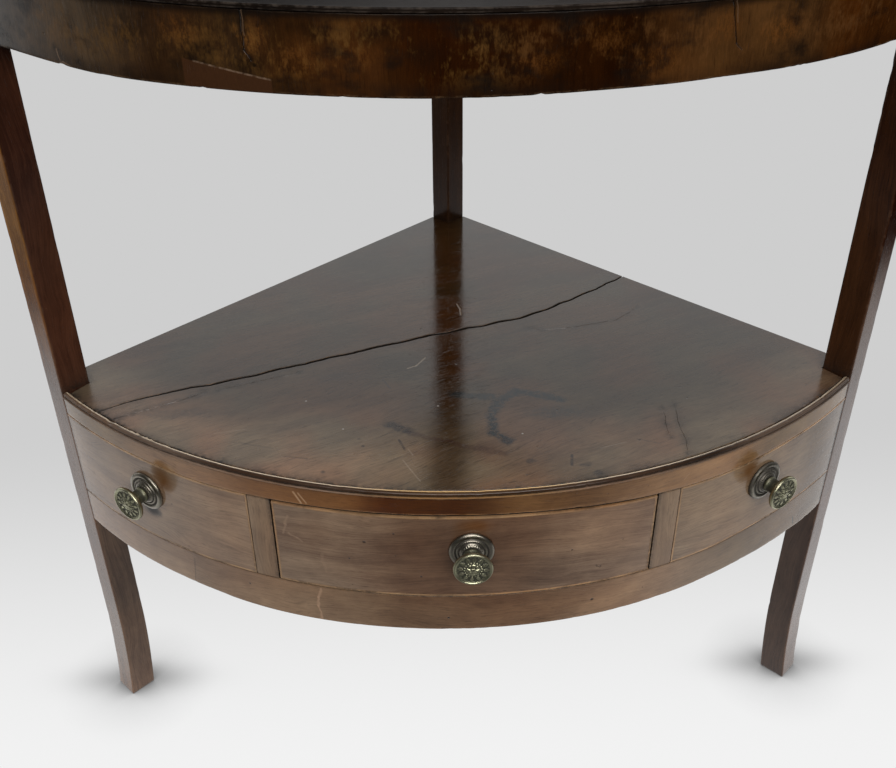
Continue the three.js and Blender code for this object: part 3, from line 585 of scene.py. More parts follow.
# ------------------------------------------------------------------ materials
class Nodes:
    def __init__(self, name):
        self.mat = bpy.data.materials.new(name)
        self.mat.use_nodes = True
        self.t = self.mat.node_tree
        self.t.nodes.clear()
        self.out = self.t.nodes.new("ShaderNodeOutputMaterial")
        self.b = self.t.nodes.new("ShaderNodeBsdfPrincipled")
        self.t.links.new(self.b.outputs[0], self.out.inputs[0])

    def _in(self, sock, v):
        if hasattr(v, "is_output"):
            self.t.links.new(v, sock)
        elif isinstance(v, (tuple, list)):
            if len(v) == 3 and len(sock.default_value) == 4:
                v = (*v, 1.0)
            sock.default_value = v
        else:
            sock.default_value = v

    def attr(self, name, vec=True):
        n = self.t.nodes.new("ShaderNodeAttribute")
        n.attribute_name = name
        return n.outputs["Vector"] if vec else n.outputs["Fac"]

    def m(self, op, a, b=None, c=None, clamp=False):
        n = self.t.nodes.new("ShaderNodeMath")
        n.operation = op
        n.use_clamp = clamp
        self._in(n.inputs[0], a)
        if b is not None:
            self._in(n.inputs[1], b)
        if c is not None:
            self._in(n.inputs[2], c)
        return n.outputs[0]

    def v(self, op, a, b=None, scale=None):
        n = self.t.nodes.new("ShaderNodeVectorMath")
        n.operation = op
        self._in(n.inputs[0], a)
        if b is not None:
            self._in(n.inputs[1], b)
        if scale is not None:
            self._in(n.inputs["Scale"], scale)
        return n.outputs["Value"] if op in ("LENGTH", "DOT_PRODUCT", "DISTANCE") else n.outputs["Vector"]

    def xyz(self, v):
        n = self.t.nodes.new("ShaderNodeSeparateXYZ")
        self._in(n.inputs[0], v)
        return n.outputs

    def vec(self, x, y, z):
        n = self.t.nodes.new("ShaderNodeCombineXYZ")
        for s, q in zip(n.inputs, (x, y, z)):
            self._in(s, q)
        return n.outputs[0]

    def noise(self, v, scale=1.0, detail=2.0, rough=0.5, dist=0.0):
        n = self.t.nodes.new("ShaderNodeTexNoise")
        self._in(n.inputs["Vector"], v)
        n.inputs["Scale"].default_value = scale
        n.inputs["Detail"].default_value = detail
        n.inputs["Roughness"].default_value = rough
        n.inputs["Distortion"].default_value = dist
        return n.outputs["Fac"]

    def rng(self, v, a, b, c=0.0, d=1.0, smooth=True):
        n = self.t.nodes.new("ShaderNodeMapRange")
        n.interpolation_type = "SMOOTHSTEP" if smooth else "LINEAR"
        self._in(n.inputs["Value"], v)
        for k, q in (("From Min", a), ("From Max", b), ("To Min", c), ("To Max", d)):
            n.inputs[k].default_value = q
        return n.outputs["Result"]

    def mix(self, f, a, b, mode="MIX"):
        n = self.t.nodes.new("ShaderNodeMix")
        n.data_type = "RGBA"
        n.blend_type = mode
        n.clamp_factor = True
        self._in(n.inputs[0], f)
        self._in(n.inputs[6], a)
        self._in(n.inputs[7], b)
        return n.outputs[2]

    def mixf(self, f, a, b):
        n = self.t.nodes.new("ShaderNodeMix")
        n.data_type = "FLOAT"
        self._in(n.inputs[0], f)
        self._in(n.inputs[2], a)
        self._in(n.inputs[3], b)
        return n.outputs[0]

    def bump(self, height, strength=1.0, distance=0.001, normal=None):
        n = self.t.nodes.new("ShaderNodeBump")
        n.inputs["Strength"].default_value = strength
        n.inputs["Distance"].default_value = distance
        self._in(n.inputs["Height"], height)
        if normal is not None:
            self._in(n.inputs["Normal"], normal)
        return n.outputs[0]

    def seg(self, p, a, b, w, fade=None):
        """how near the point is to the line from a to b: 1 on it, 0 at w and further"""
        ax, ay = a
        bx, by = b
        d = (bx - ax, by - ay, 0.0)
        l2 = d[0] ** 2 + d[1] ** 2
        q = self.v("SUBTRACT", p, (ax, ay, 0.0))
        h = self.m("MULTIPLY", self.v("DOT_PRODUCT", q, d), 1.0 / l2, clamp=True)
        r = self.v("LENGTH", self.v("SUBTRACT", q, self.v("SCALE", d, scale=h)))
        k = self.rng(r, w * 0.25, w, 1.0, 0.0)
        if fade is not None:
            k = self.m("MULTIPLY", k, self.rng(h, 0.0, 1.0, fade[0], fade[1], smooth=False))
        return k

    def steps(self, v, pts):
        """straight lines between (value, result) pairs"""
        a, b = pts[0][0], pts[-1][0]
        n = self.t.nodes.new("ShaderNodeValToRGB")
        self.t.links.new(self.rng(v, a, b, 0.0, 1.0, smooth=False), n.inputs[0])
        el = n.color_ramp.elements
        while len(el) < len(pts):
            el.new(0.5)
        for e, (x, y) in zip(el, pts):
            e.position = (x - a) / (b - a)
        for e, (x, y) in zip(el, pts):
            e.color = (y, y, y, 1.0)
        return n.outputs[0]

    def spot(self, p, c, rx, ry=None, soft=0.6):
        ry = rx if ry is None else ry
        q = self.v("MULTIPLY", self.v("SUBTRACT", p, (c[0], c[1], 0.0)), (1.0 / rx, 1.0 / ry, 0.0))
        return self.rng(self.v("LENGTH", q), 1.0 - soft, 1.0, 1.0, 0.0)


def flat2(n, p):
    return n.v("MULTIPLY", p, (1.0, 1.0, 0.0))


def wood(name, dark, light, wear_and_highlight_col, streak=1.0, fine=0.6, mottle=0.5, pores=0.5, rough=0.24, rough_var=0.10,
         bump=1.0, wave=1.0, wear_and_highlight=0.6, streak_w=0.35, length=0.012, seed=0.0, sat=None, marks=None, fiddle=0.0, ribbon=0.0,
         wear_and_highlight_lo=0.42, dirt_and_shade_col=(0.010, 0.007, 0.005), spec=0.5, late=False, hue_amt=0.45, fleck=0.35):
    """polished timber: growth streaks, pores, mottling, worn arrises, dirt, hand-rubbed waviness, painted light and
    shade.
    All patterns run in grain coordinates, in millimetres: x along the grain."""
    n = Nodes(name)
    g = n.v("SCALE", n.attr("gc"), scale=1000.0)
    g = n.v("ADD", g, (seed * 137.1, seed * 71.7, seed * 33.3))
    bend = n.noise(n.v("MULTIPLY", g, (0.006, 0.02, 0.02)), 1.0, 2.0)
    bend2 = n.noise(n.v("MULTIPLY", g, (0.03, 0.05, 0.05)), 1.0, 1.0)
    off = n.m("ADD", n.m("MULTIPLY", n.m("SUBTRACT", bend, 0.5), 34.0), n.m("MULTIPLY", n.m("SUBTRACT", bend2, 0.5), 5.0))
    gw = n.v("ADD", g, n.vec(0.0, off, 0.0))
    s1 = n.noise(n.v("MULTIPLY", gw, (length * 0.35, streak_w * 0.28, streak_w * 0.28)), 1.0, 3.0, 0.55)
    s2 = n.noise(n.v("MULTIPLY", gw, (length * 1.6, streak_w * 2.2, streak_w * 2.2)), 1.0, 3.0, 0.6)
    s3 = n.noise(n.v("MULTIPLY", gw, (length * 5.0, streak_w * 9.0, streak_w * 9.0)), 1.0, 2.0, 0.6)
    mo = n.noise(n.v("MULTIPLY", g, (0.016, 0.022, 0.022)), 1.0, 3.0, 0.55)
    mo2 = n.noise(n.v("MULTIPLY", g, (0.06, 0.09, 0.09)), 1.0, 3.0, 0.6)
    f = n.m("ADD", 0.5, n.m("MULTIPLY", n.m("SUBTRACT", s1, 0.5), 1.5 * streak))
    f = n.m("ADD", f, n.m("MULTIPLY", n.m("SUBTRACT", s2, 0.5), 1.2 * streak))
    f = n.m("ADD", f, n.m("MULTIPLY", n.m("SUBTRACT", s3, 0.5), 0.9 * fine))
    f = n.m("ADD", f, n.m("MULTIPLY", n.m("SUBTRACT", mo, 0.5), 1.4 * mottle))
    f = n.m("ADD", f, n.m("MULTIPLY", n.m("SUBTRACT", mo2, 0.5), 0.8 * mottle))
    grit = n.noise(n.v("MULTIPLY", g, (0.55, 0.95, 0.95)), 1.0, 2.0, 0.7)
    f = n.m("ADD", f, n.m("MULTIPLY", n.m("SUBTRACT", grit, 0.5), 0.55 * fleck))
    if ribbon:
        rb = n.noise(n.v("MULTIPLY", gw, (0.002, 0.09, 0.09)), 1.0, 1.0)
        f = n.m("ADD", f, n.m("MULTIPLY", n.m("SUBTRACT", rb, 0.5), ribbon))
    if fiddle:
        fb = n.noise(n.v("MULTIPLY", gw, (0.14, 0.02, 0.02)), 1.0, 1.0)
        f = n.m("ADD", f, n.m("MULTIPLY", n.m("SUBTRACT", fb, 0.5), fiddle))
    tone = n.attr("tone", False)
    f = n.m("ADD", f, tone, clamp=True)
    col = n.mix(f, dark, light)
    # open pores: short dark flecks along the grain
    po = n.noise(n.v("MULTIPLY", gw, (0.16, 2.6, 2.6)), 1.0, 1.0)
    pore = n.rng(po, 0.60, 0.72)
    po2 = n.noise(n.v("MULTIPLY", gw, (0.05, 0.9, 0.9)), 1.0, 2.0)
    dens = n.rng(po2, 0.3, 0.7)
    pore = n.m("MULTIPLY", pore, dens)
    col = n.mix(n.m("MULTIPLY", pore, pores), col, tuple(c * 0.30 for c in dark))
    fl = n.noise(n.v("MULTIPLY", n.v("ADD", gw, (17.0, 5.0, 9.0)), (0.085, 1.15, 1.15)), 1.0, 2.0, 0.6)
    col = n.mix(n.m("MULTIPLY", n.rng(fl, 0.56, 0.72), fleck), col, tuple(c * 0.45 for c in dark))
    col = n.mix(n.m("MULTIPLY", n.rng(fl, 0.42, 0.28), fleck * 0.5), col, tuple(c * 1.25 for c in light))
    # cloudy hue drift
    hue = n.noise(n.v("MULTIPLY", g, (0.009, 0.012, 0.012)), 1.0, 2.0)
    col = n.mix(n.rng(hue, 0.35, 0.75, 0.0, hue_amt), col, n.mix(1.0, col, (1.25, 0.96, 0.72), "MULTIPLY"))
    # painted light and shade from place to place, together with the finish's own fading and darkening
    if not late:
        col = n.mix(1.0, col, n.attr("mul"), "MULTIPLY")
    # use and handling: arrises rubbed pale, dirt in the low places; on the bead these masks paint a highlight along its
    # top and shade below it, and round the drawer shade in the gap
    w = n.attr("wear_and_highlight", False)
    wn = n.noise(g, 0.11, 4.0, 0.65)
    wn2 = n.noise(g, 0.9, 2.0, 0.6)
    wsel = n.rng(n.m("ADD", wn, n.m("MULTIPLY", n.m("SUBTRACT", wn2, 0.5), 0.35)), wear_and_highlight_lo, wear_and_highlight_lo + 0.22)
    wk = n.m("MULTIPLY", n.m("MULTIPLY", n.rng(w, 0.35, 0.95), wsel), wear_and_highlight)
    col = n.mix(wk, col, wear_and_highlight_col)
    if late:
        col = n.mix(1.0, col, n.attr("mul"), "MULTIPLY")
    gr = n.attr("dirt_and_shade", False)
    grn = n.m("MULTIPLY", gr, n.rng(n.noise(g, 0.35, 3.0, 0.65), 0.30, 0.62, 0.35, 1.0), clamp=True)
    col = n.mix(grn, col, dirt_and_shade_col)
    # small bruises and specks
    sp = n.noise(g, 0.23, 2.0, 0.55)
    speck = n.rng(sp, 0.735, 0.80)
    col = n.mix(n.m("MULTIPLY", speck, 0.55), col, tuple(c * 0.4 for c in dark))
    sp2 = n.noise(n.v("ADD", g, (51.0, 7.0, 3.0)), 0.55, 1.0, 0.5)
    speck2 = n.rng(sp2, 0.80, 0.86)
    col = n.mix(n.m("MULTIPLY", speck2, 0.4), col, tuple(min(1.0, c * 2.2) for c in light))
    rv = n.noise(g, 0.035, 4.0, 0.6)
    ro = n.m("ADD", rough, n.m("MULTIPLY", n.m("SUBTRACT", rv, 0.5), 2 * rough_var))
    ro = n.m("ADD", ro, n.m("MULTIPLY", pore, 0.16))
    ro = n.m("ADD", ro, n.m("MULTIPLY", wk, 0.10))
    ro = n.m("ADD", ro, n.m("MULTIPLY", grn, 0.30))
    # height in millimetres
    h = n.m("MULTIPLY", pore, -0.035 * bump)
    h = n.m("ADD", h, n.m("MULTIPLY", s3, 0.018 * bump))
    h = n.m("ADD", h, n.m("MULTIPLY", s2, 0.020 * bump))
    wv = n.noise(n.v("MULTIPLY", g, (0.030, 0.055, 0.055)), 1.0, 2.0, 0.45)
    h = n.m("ADD", h, n.m("MULTIPLY", wv, 0.22 * wave))
    fnz = n.noise(g, 1.6, 2.0, 0.6)
    h = n.m("ADD", h, n.m("MULTIPLY", fnz, 0.006 * bump))
    h = n.m("ADD", h, n.m("MULTIPLY", grn, 0.03))
    h = n.m("ADD", h, n.m("MULTIPLY", speck, -0.10))
    if marks:
        col, ro, h = marks(n, col, ro, h)
    ro = n.m("MINIMUM", n.m("MAXIMUM", ro, 0.05), 0.85)
    nb = n.bump(h, 1.0, 0.001)
    n._in(n.b.inputs["Base Color"], col)
    n._in(n.b.inputs["Roughness"], ro)
    n._in(n.b.inputs["Normal"], nb)
    n.b.inputs["IOR"].default_value = 1.5
    n.b.inputs["Specular IOR Level"].default_value = spec
    return n.mat


def metal(name, base, patina, rough=0.32, scale=1.0, patina_amt=0.7, grime_bias=0.0, metallic=1.0):
    n = Nodes(name)
    g = n.v("SCALE", n.attr("gc"), scale=1000.0)
    cav = n.attr("dirt_and_shade", False)
    exp_ = n.attr("wear_and_highlight", False)
    a = n.noise(g, 0.30 * scale, 4.0, 0.6)
    b = n.noise(g, 1.6 * scale, 3.0, 0.6)
    k = n.m("ADD", n.m("MULTIPLY", cav, 1.0), n.m("MULTIPLY", n.m("SUBTRACT", a, 0.5), 0.9))
    k = n.m("ADD", k, n.m("MULTIPLY", n.m("SUBTRACT", b, 0.5), 0.45))
    k = n.m("ADD", k, grime_bias)
    k = n.m("SUBTRACT", k, n.m("MULTIPLY", exp_, 0.45))
    k = n.rng(k, 0.05, 0.75, 0.0, patina_amt)
    col = n.mix(k, base, patina)
    c2 = n.noise(g, 0.5, 2.0)
    col = n.mix(n.rng(c2, 0.3, 0.7, 0.0, 0.5), col, n.mix(1.0, col, (0.86, 1.0, 0.88), "MULTIPLY"))
    ro = n.m("ADD", rough, n.m("MULTIPLY", k, 0.28))
    ro = n.m("ADD", ro, n.m("MULTIPLY", n.m("SUBTRACT", b, 0.5), 0.18))
    n._in(n.b.inputs["Base Color"], col)
    n._in(n.b.inputs["Roughness"], n.m("MINIMUM", n.m("MAXIMUM", ro, 0.15), 0.8))
    n._in(n.b.inputs["Metallic"], n.rng(k, 0.25, 0.95, metallic, metallic * 0.55))
    h = n.m("ADD", n.m("MULTIPLY", b, 0.05), n.m("MULTIPLY", a, 0.10))
    sc = n.noise(n.v("MULTIPLY", g, (0.6, 7.0, 7.0)), 1.0, 1.0)
    h = n.m("ADD", h, n.m("MULTIPLY", sc, 0.012))
    n._in(n.b.inputs["Normal"], n.bump(h, 1.0, 0.001))
    return n.mat


WEAR = (0.30, 0.165, 0.075)


# marks on the shelf, in the shelf's plan (millimetres)
def shelf_marks(n, col, ro, h):
    p = n.v("SCALE", flat2(n, n.attr("pp")), scale=1000.0)
    wob = n.noise(p, 0.10, 3.0, 0.6)
    wob2 = n.noise(n.v("ADD", p, (91.0, 13.0, 5.0)), 0.10, 3.0, 0.6)
    off = n.vec(n.m("MULTIPLY", n.m("SUBTRACT", wob, 0.5), 9.0), n.m("MULTIPLY", n.m("SUBTRACT", wob2, 0.5), 9.0), 0.0)
    q = n.v("ADD", p, off)
    ragged = n.rng(n.noise(p, 0.30, 3.0, 0.65), 0.30, 0.60, 0.35, 1.0)

    def dark(k, amt, tint=(0.026, 0.020, 0.018)):
        nonlocal col
        col = n.mix(n.m("MULTIPLY", n.m("MULTIPLY", k, ragged), amt), col, tint)

    def path(pts, w, amt, tint=(0.026, 0.020, 0.018), at=q):
        k = None
        for a, b in zip(pts[:-1], pts[1:]):
            s_ = n.seg(at, a, b, w)
            k = s_ if k is None else n.m("MAXIMUM", k, s_)
        dark(k, amt, tint)
    # an open ring left by a wet foot, with a smear inside it
    path([(72, -340), (58, -333), (42, -328.5), (28.5, -338.5), (21, -357), (22.2, -380), (30.5, -387.5)], 6.5, 1.0, (0.009, 0.013, 0.015))
    dark(n.spot(q, (68, -356), 38, 12, 0.9), 0.70, (0.020, 0.022, 0.022))
    # a smear and a reddish line running forward from it
    path([(-50, -366.5), (-36, -375)], 6.5, 0.85, (0.014, 0.010, 0.009))
    path([(-36, -376), (-6, -390), (27.4, -401.6)], 3.6, 0.50, (0.036, 0.014, 0.010))
    path([(-5, -329.6), (22.3, -334.4)], 6.0, 1.0, (0.010, 0.012, 0.012))
    for c, rx, ry, amt in (((30.4, -387.5), 6.5, 4.2, 0.85), ((43.9, -410.9), 4.6, 3.4, 0.80), ((79.5, -416.0), 6.5, 3.2, 0.8), ((86.5, -425.0), 5.5, 4.0, 0.8),
                           ((-92.2, -417.8), 2.2, 2.0, 0.8), ((-67.4, -390.4), 1.8, 1.8, 0.9), ((-70.5, -382.3), 1.8, 1.6, 0.7), ((-200, -347), 55, 9, 0.45), ((-88, -304), 34, 9, 0.40)):
        dark(n.spot(q if rx > 3 else p, c, rx, ry, 0.75), amt)
    for a, b, w, amt in (((-56.1, -308.9), (-50.7, -319.9), 1.4, 0.8), ((-43.3, -384.4), (-39.1, -395.9), 1.3, 0.8), ((71.6, -405.4), (70.2, -416.2), 1.5, 0.85),
                         ((-119, -400), (-104, -403), 1.0, 0.5), ((-150, -384), (-128, -391), 0.9, 0.4), ((118, -389), (131, -394), 1.0, 0.5)):
        dark(n.seg(p, a, b, w), amt)

    def pale(k, amt, tint=(0.42, 0.34, 0.26)):
        nonlocal col, h
        col = n.mix(n.m("MULTIPLY", k, amt), col, tint)
        h = n.m("SUBTRACT", h, n.m("MULTIPLY", k, 0.03))
    for pts, w, amt in (([(-40.4, -406.8), (-35.5, -417.0), (-29.2, -429.4)], 0.7, 0.24), ([(-37.1, -394.8), (-33.8, -401.6)], 0.7, 0.22),
                        ([(2.6, -194.1), (4.9, -203.0), (5.3, -213.0)], 0.9, 0.30), ([(-38.0, -293.5), (-31.5, -290.0), (-24.9, -279.0)], 1.1, 0.34),
                        ([(92, -398), (110, -392)], 0.8, 0.14), ([(-170, -372), (-150, -368)], 0.8, 0.12)):
        for a, b in zip(pts[:-1], pts[1:]):
            pale(n.seg(p, a, b, w), amt)
    for c in ((-110.6, -334.7), (-82.0, -370.2), (-16.1, -344.5), (41.0, -380.0)):
        pale(n.spot(p, c, 0.95, 0.85), 0.7, (0.50, 0.46, 0.42))
    # the polish is rubbed dull toward the front edge
    lit = n.attr("lit", False)
    ro = n.m("ADD", ro, n.m("MULTIPLY", lit, 0.20))
    return col, ro, h


def rail_upper_marks(n, col, ro, h):
    p = flat2(n, n.attr("fp"))
    for a, b, w, amt in (((-0.1127, 0.3127), (-0.1080, 0.3045), 0.0011, 0.75), ((-0.1094, 0.3124), (-0.1045, 0.3052), 0.0009, 0.65),
                         ((-0.1110, 0.3100), (-0.1080, 0.3048), 0.0006, 0.5), ((0.149, 0.306), (0.153, 0.311), 0.0005, 0.3)):
        k = n.seg(p, a, b, w)
        col = n.mix(n.m("MULTIPLY", k, amt), col, (0.42, 0.25, 0.13))
        h = n.m("SUBTRACT", h, n.m("MULTIPLY", k, 0.05))
    # pale rubbed arris along the bottom
    z = n.xyz(p)[1]
    k = n.rng(z, 0.3036, 0.3046, 1.0, 0.0)
    nz = n.noise(n.v("SCALE", p, scale=1000.0), 0.08, 3.0)
    col = n.mix(n.m("MULTIPLY", k, n.rng(nz, 0.35, 0.65, 0.1, 0.55)), col, (0.30, 0.16, 0.07))
    return col, ro, h


def rail_lower_marks(n, col, ro, h):
    p = flat2(n, n.attr("fp"))
    wz = n.noise(n.v("SCALE", p, scale=1000.0), 0.12, 2.0)
    q = n.v("ADD", p, n.vec(n.m("MULTIPLY", n.m("SUBTRACT", wz, 0.5), 0.006), 0.0, 0.0))
    for a, b, w, amt in (((-0.0990, 0.2300), (-0.1026, 0.2215), 0.0013, 0.62), ((-0.1026, 0.2215), (-0.1036, 0.2130), 0.0014, 0.66), ((-0.1036, 0.2130), (-0.1012, 0.1990), 0.0013, 0.62)):
        k = n.seg(q, a, b, w)
        col = n.mix(n.m("MULTIPLY", k, amt), col, (0.42, 0.26, 0.16))
        h = n.m("SUBTRACT", h, n.m("MULTIPLY", k, 0.05))
    for a, b, w, amt in (((-0.2012, 0.2262), (-0.2042, 0.2030), 0.0007, 0.40), ((0.2762, 0.2155), (0.2782, 0.2085), 0.0011, 0.95)):
        k = n.seg(p, a, b, w)
        col = n.mix(n.m("MULTIPLY", k, amt), col, (0.010, 0.006, 0.004))
        h = n.m("SUBTRACT", h, n.m("MULTIPLY", k, 0.02))
    for c, r in (((0.0885, 0.2165), 0.0016), ((-0.012, 0.2120), 0.0012), ((-0.155, 0.2200), 0.0010)):
        k = n.spot(p, c, r, r * 0.8)
        col = n.mix(n.m("MULTIPLY", k, 0.85), col, (0.008, 0.005, 0.004))
        h = n.m("SUBTRACT", h, n.m("MULTIPLY", k, 0.3))
    # patches let in: slightly different tone beyond a joint
    x = n.xyz(p)[0]
    k = n.rng(x, -0.2035, -0.2025, 1.0, 0.0)
    col = n.mix(n.m("MULTIPLY", k, 0.35), col, n.mix(1.0, col, (1.25, 1.2, 1.2), "MULTIPLY"))
    return col, ro, h


def drawer_marks(n, col, ro, h):
    p = flat2(n, n.attr("fp"))
    wz = n.noise(n.v("SCALE", p, scale=1000.0), 0.10, 2.0)
    wy = n.noise(n.v("ADD", n.v("SCALE", p, scale=1000.0), (31.0, 7.0, 0.0)), 0.10, 2.0)
    q = n.v("ADD", p, n.vec(n.m("MULTIPLY", n.m("SUBTRACT", wz, 0.5), 0.006), n.m("MULTIPLY", n.m("SUBTRACT", wy, 0.5), 0.006), 0.0))
    for a, b, w, amt in (((-0.1190, 0.2912), (-0.1216, 0.2840), 0.0012, 0.36), ((-0.1216, 0.2840), (-0.1227, 0.2756), 0.0012, 0.36),
                         ((-0.1183, 0.2766), (-0.1145, 0.2735), 0.0010, 0.40), ((-0.1145, 0.2735), (-0.1103, 0.2714), 0.0010, 0.36), ((-0.0975, 0.262), (-0.0950, 0.2475), 0.0016, 0.22)):
        k = n.seg(q, a, b, w)
        col = n.mix(n.m("MULTIPLY", k, amt), col, (0.34, 0.22, 0.14))
        h = n.m("SUBTRACT", h, n.m("MULTIPLY", k, 0.03))
    for c, r in (((-0.0672, 0.2778), 0.0015), ((-0.0475, 0.2865), 0.0011), ((-0.030, 0.2500), 0.0011), ((-0.078, 0.2620), 0.0009), ((0.071, 0.2660), 0.0010), ((0.0125, 0.2645), 0.0011)):
        k = n.spot(p, c, r, r * 0.8)
        col = n.mix(n.m("MULTIPLY", k, 0.8), col, (0.010, 0.006, 0.005))
        h = n.m("SUBTRACT", h, n.m("MULTIPLY", k, 0.2))
    # dark bloom round the knob, and a painted reflection of the knob above it, dark orange
    k = n.spot(p, (0.0034, 0.2745), 0.040, 0.030, 1.0)
    col = n.mix(n.m("MULTIPLY", k, 0.45), col, (0.026, 0.011, 0.005))
    k = n.spot(p, (0.0060, 0.2943), 0.0175, 0.0085, 1.0)
    col = n.mix(n.m("MULTIPLY", k, 0.60), col, (0.150, 0.056, 0.014))
    return col, ro, h


def dummy_marks(side):
    def f(n, col, ro, h):
        p = flat2(n, n.attr("fp"))
        cx = math.radians(KNOBS["left" if side < 0 else "right"][0]) * R / 1000
        cz = KNOBS["left" if side < 0 else "right"][1] / 1000
        k = n.spot(p, (cx, cz), 0.026, 0.024, 1.0)
        col = n.mix(n.m("MULTIPLY", k, 0.55), col, (0.030, 0.018, 0.013))
        # a painted reflection of the knob in the polish beside it, dark orange
        k = n.spot(p, (cx + 0.0175, cz + 0.0155) if side < 0 else (cx - 0.0165, cz + 0.0155), 0.0135, 0.0175, 1.0)
        col = n.mix(n.m("MULTIPLY", k, 0.85), col, (0.120, 0.044, 0.008))
        # a painted shadow under the knob, dark, with the polish rougher there
        if side < 0:
            k = n.spot(p, (-0.2350, 0.2585), 0.012, 0.010, 0.8)
            col = n.mix(n.m("MULTIPLY", k, 0.95), col, (0.010, 0.008, 0.007))
            ro = n.m("ADD", ro, n.m("MULTIPLY", k, 0.35))
        if side > 0:
            k = n.spot(p, (0.2796, 0.2804), 0.0028, 0.0024)
            col = n.mix(n.m("MULTIPLY", k, 0.5), col, (0.085, 0.036, 0.014))
        # a smaller painted shadow under the rose
        if side < 0:
            k = n.spot(p, (cx + 0.006, cz - 0.018), 0.005, 0.004)
            col = n.mix(n.m("MULTIPLY", k, 0.6), col, (0.012, 0.008, 0.006))
        return col, ro, h
    return f


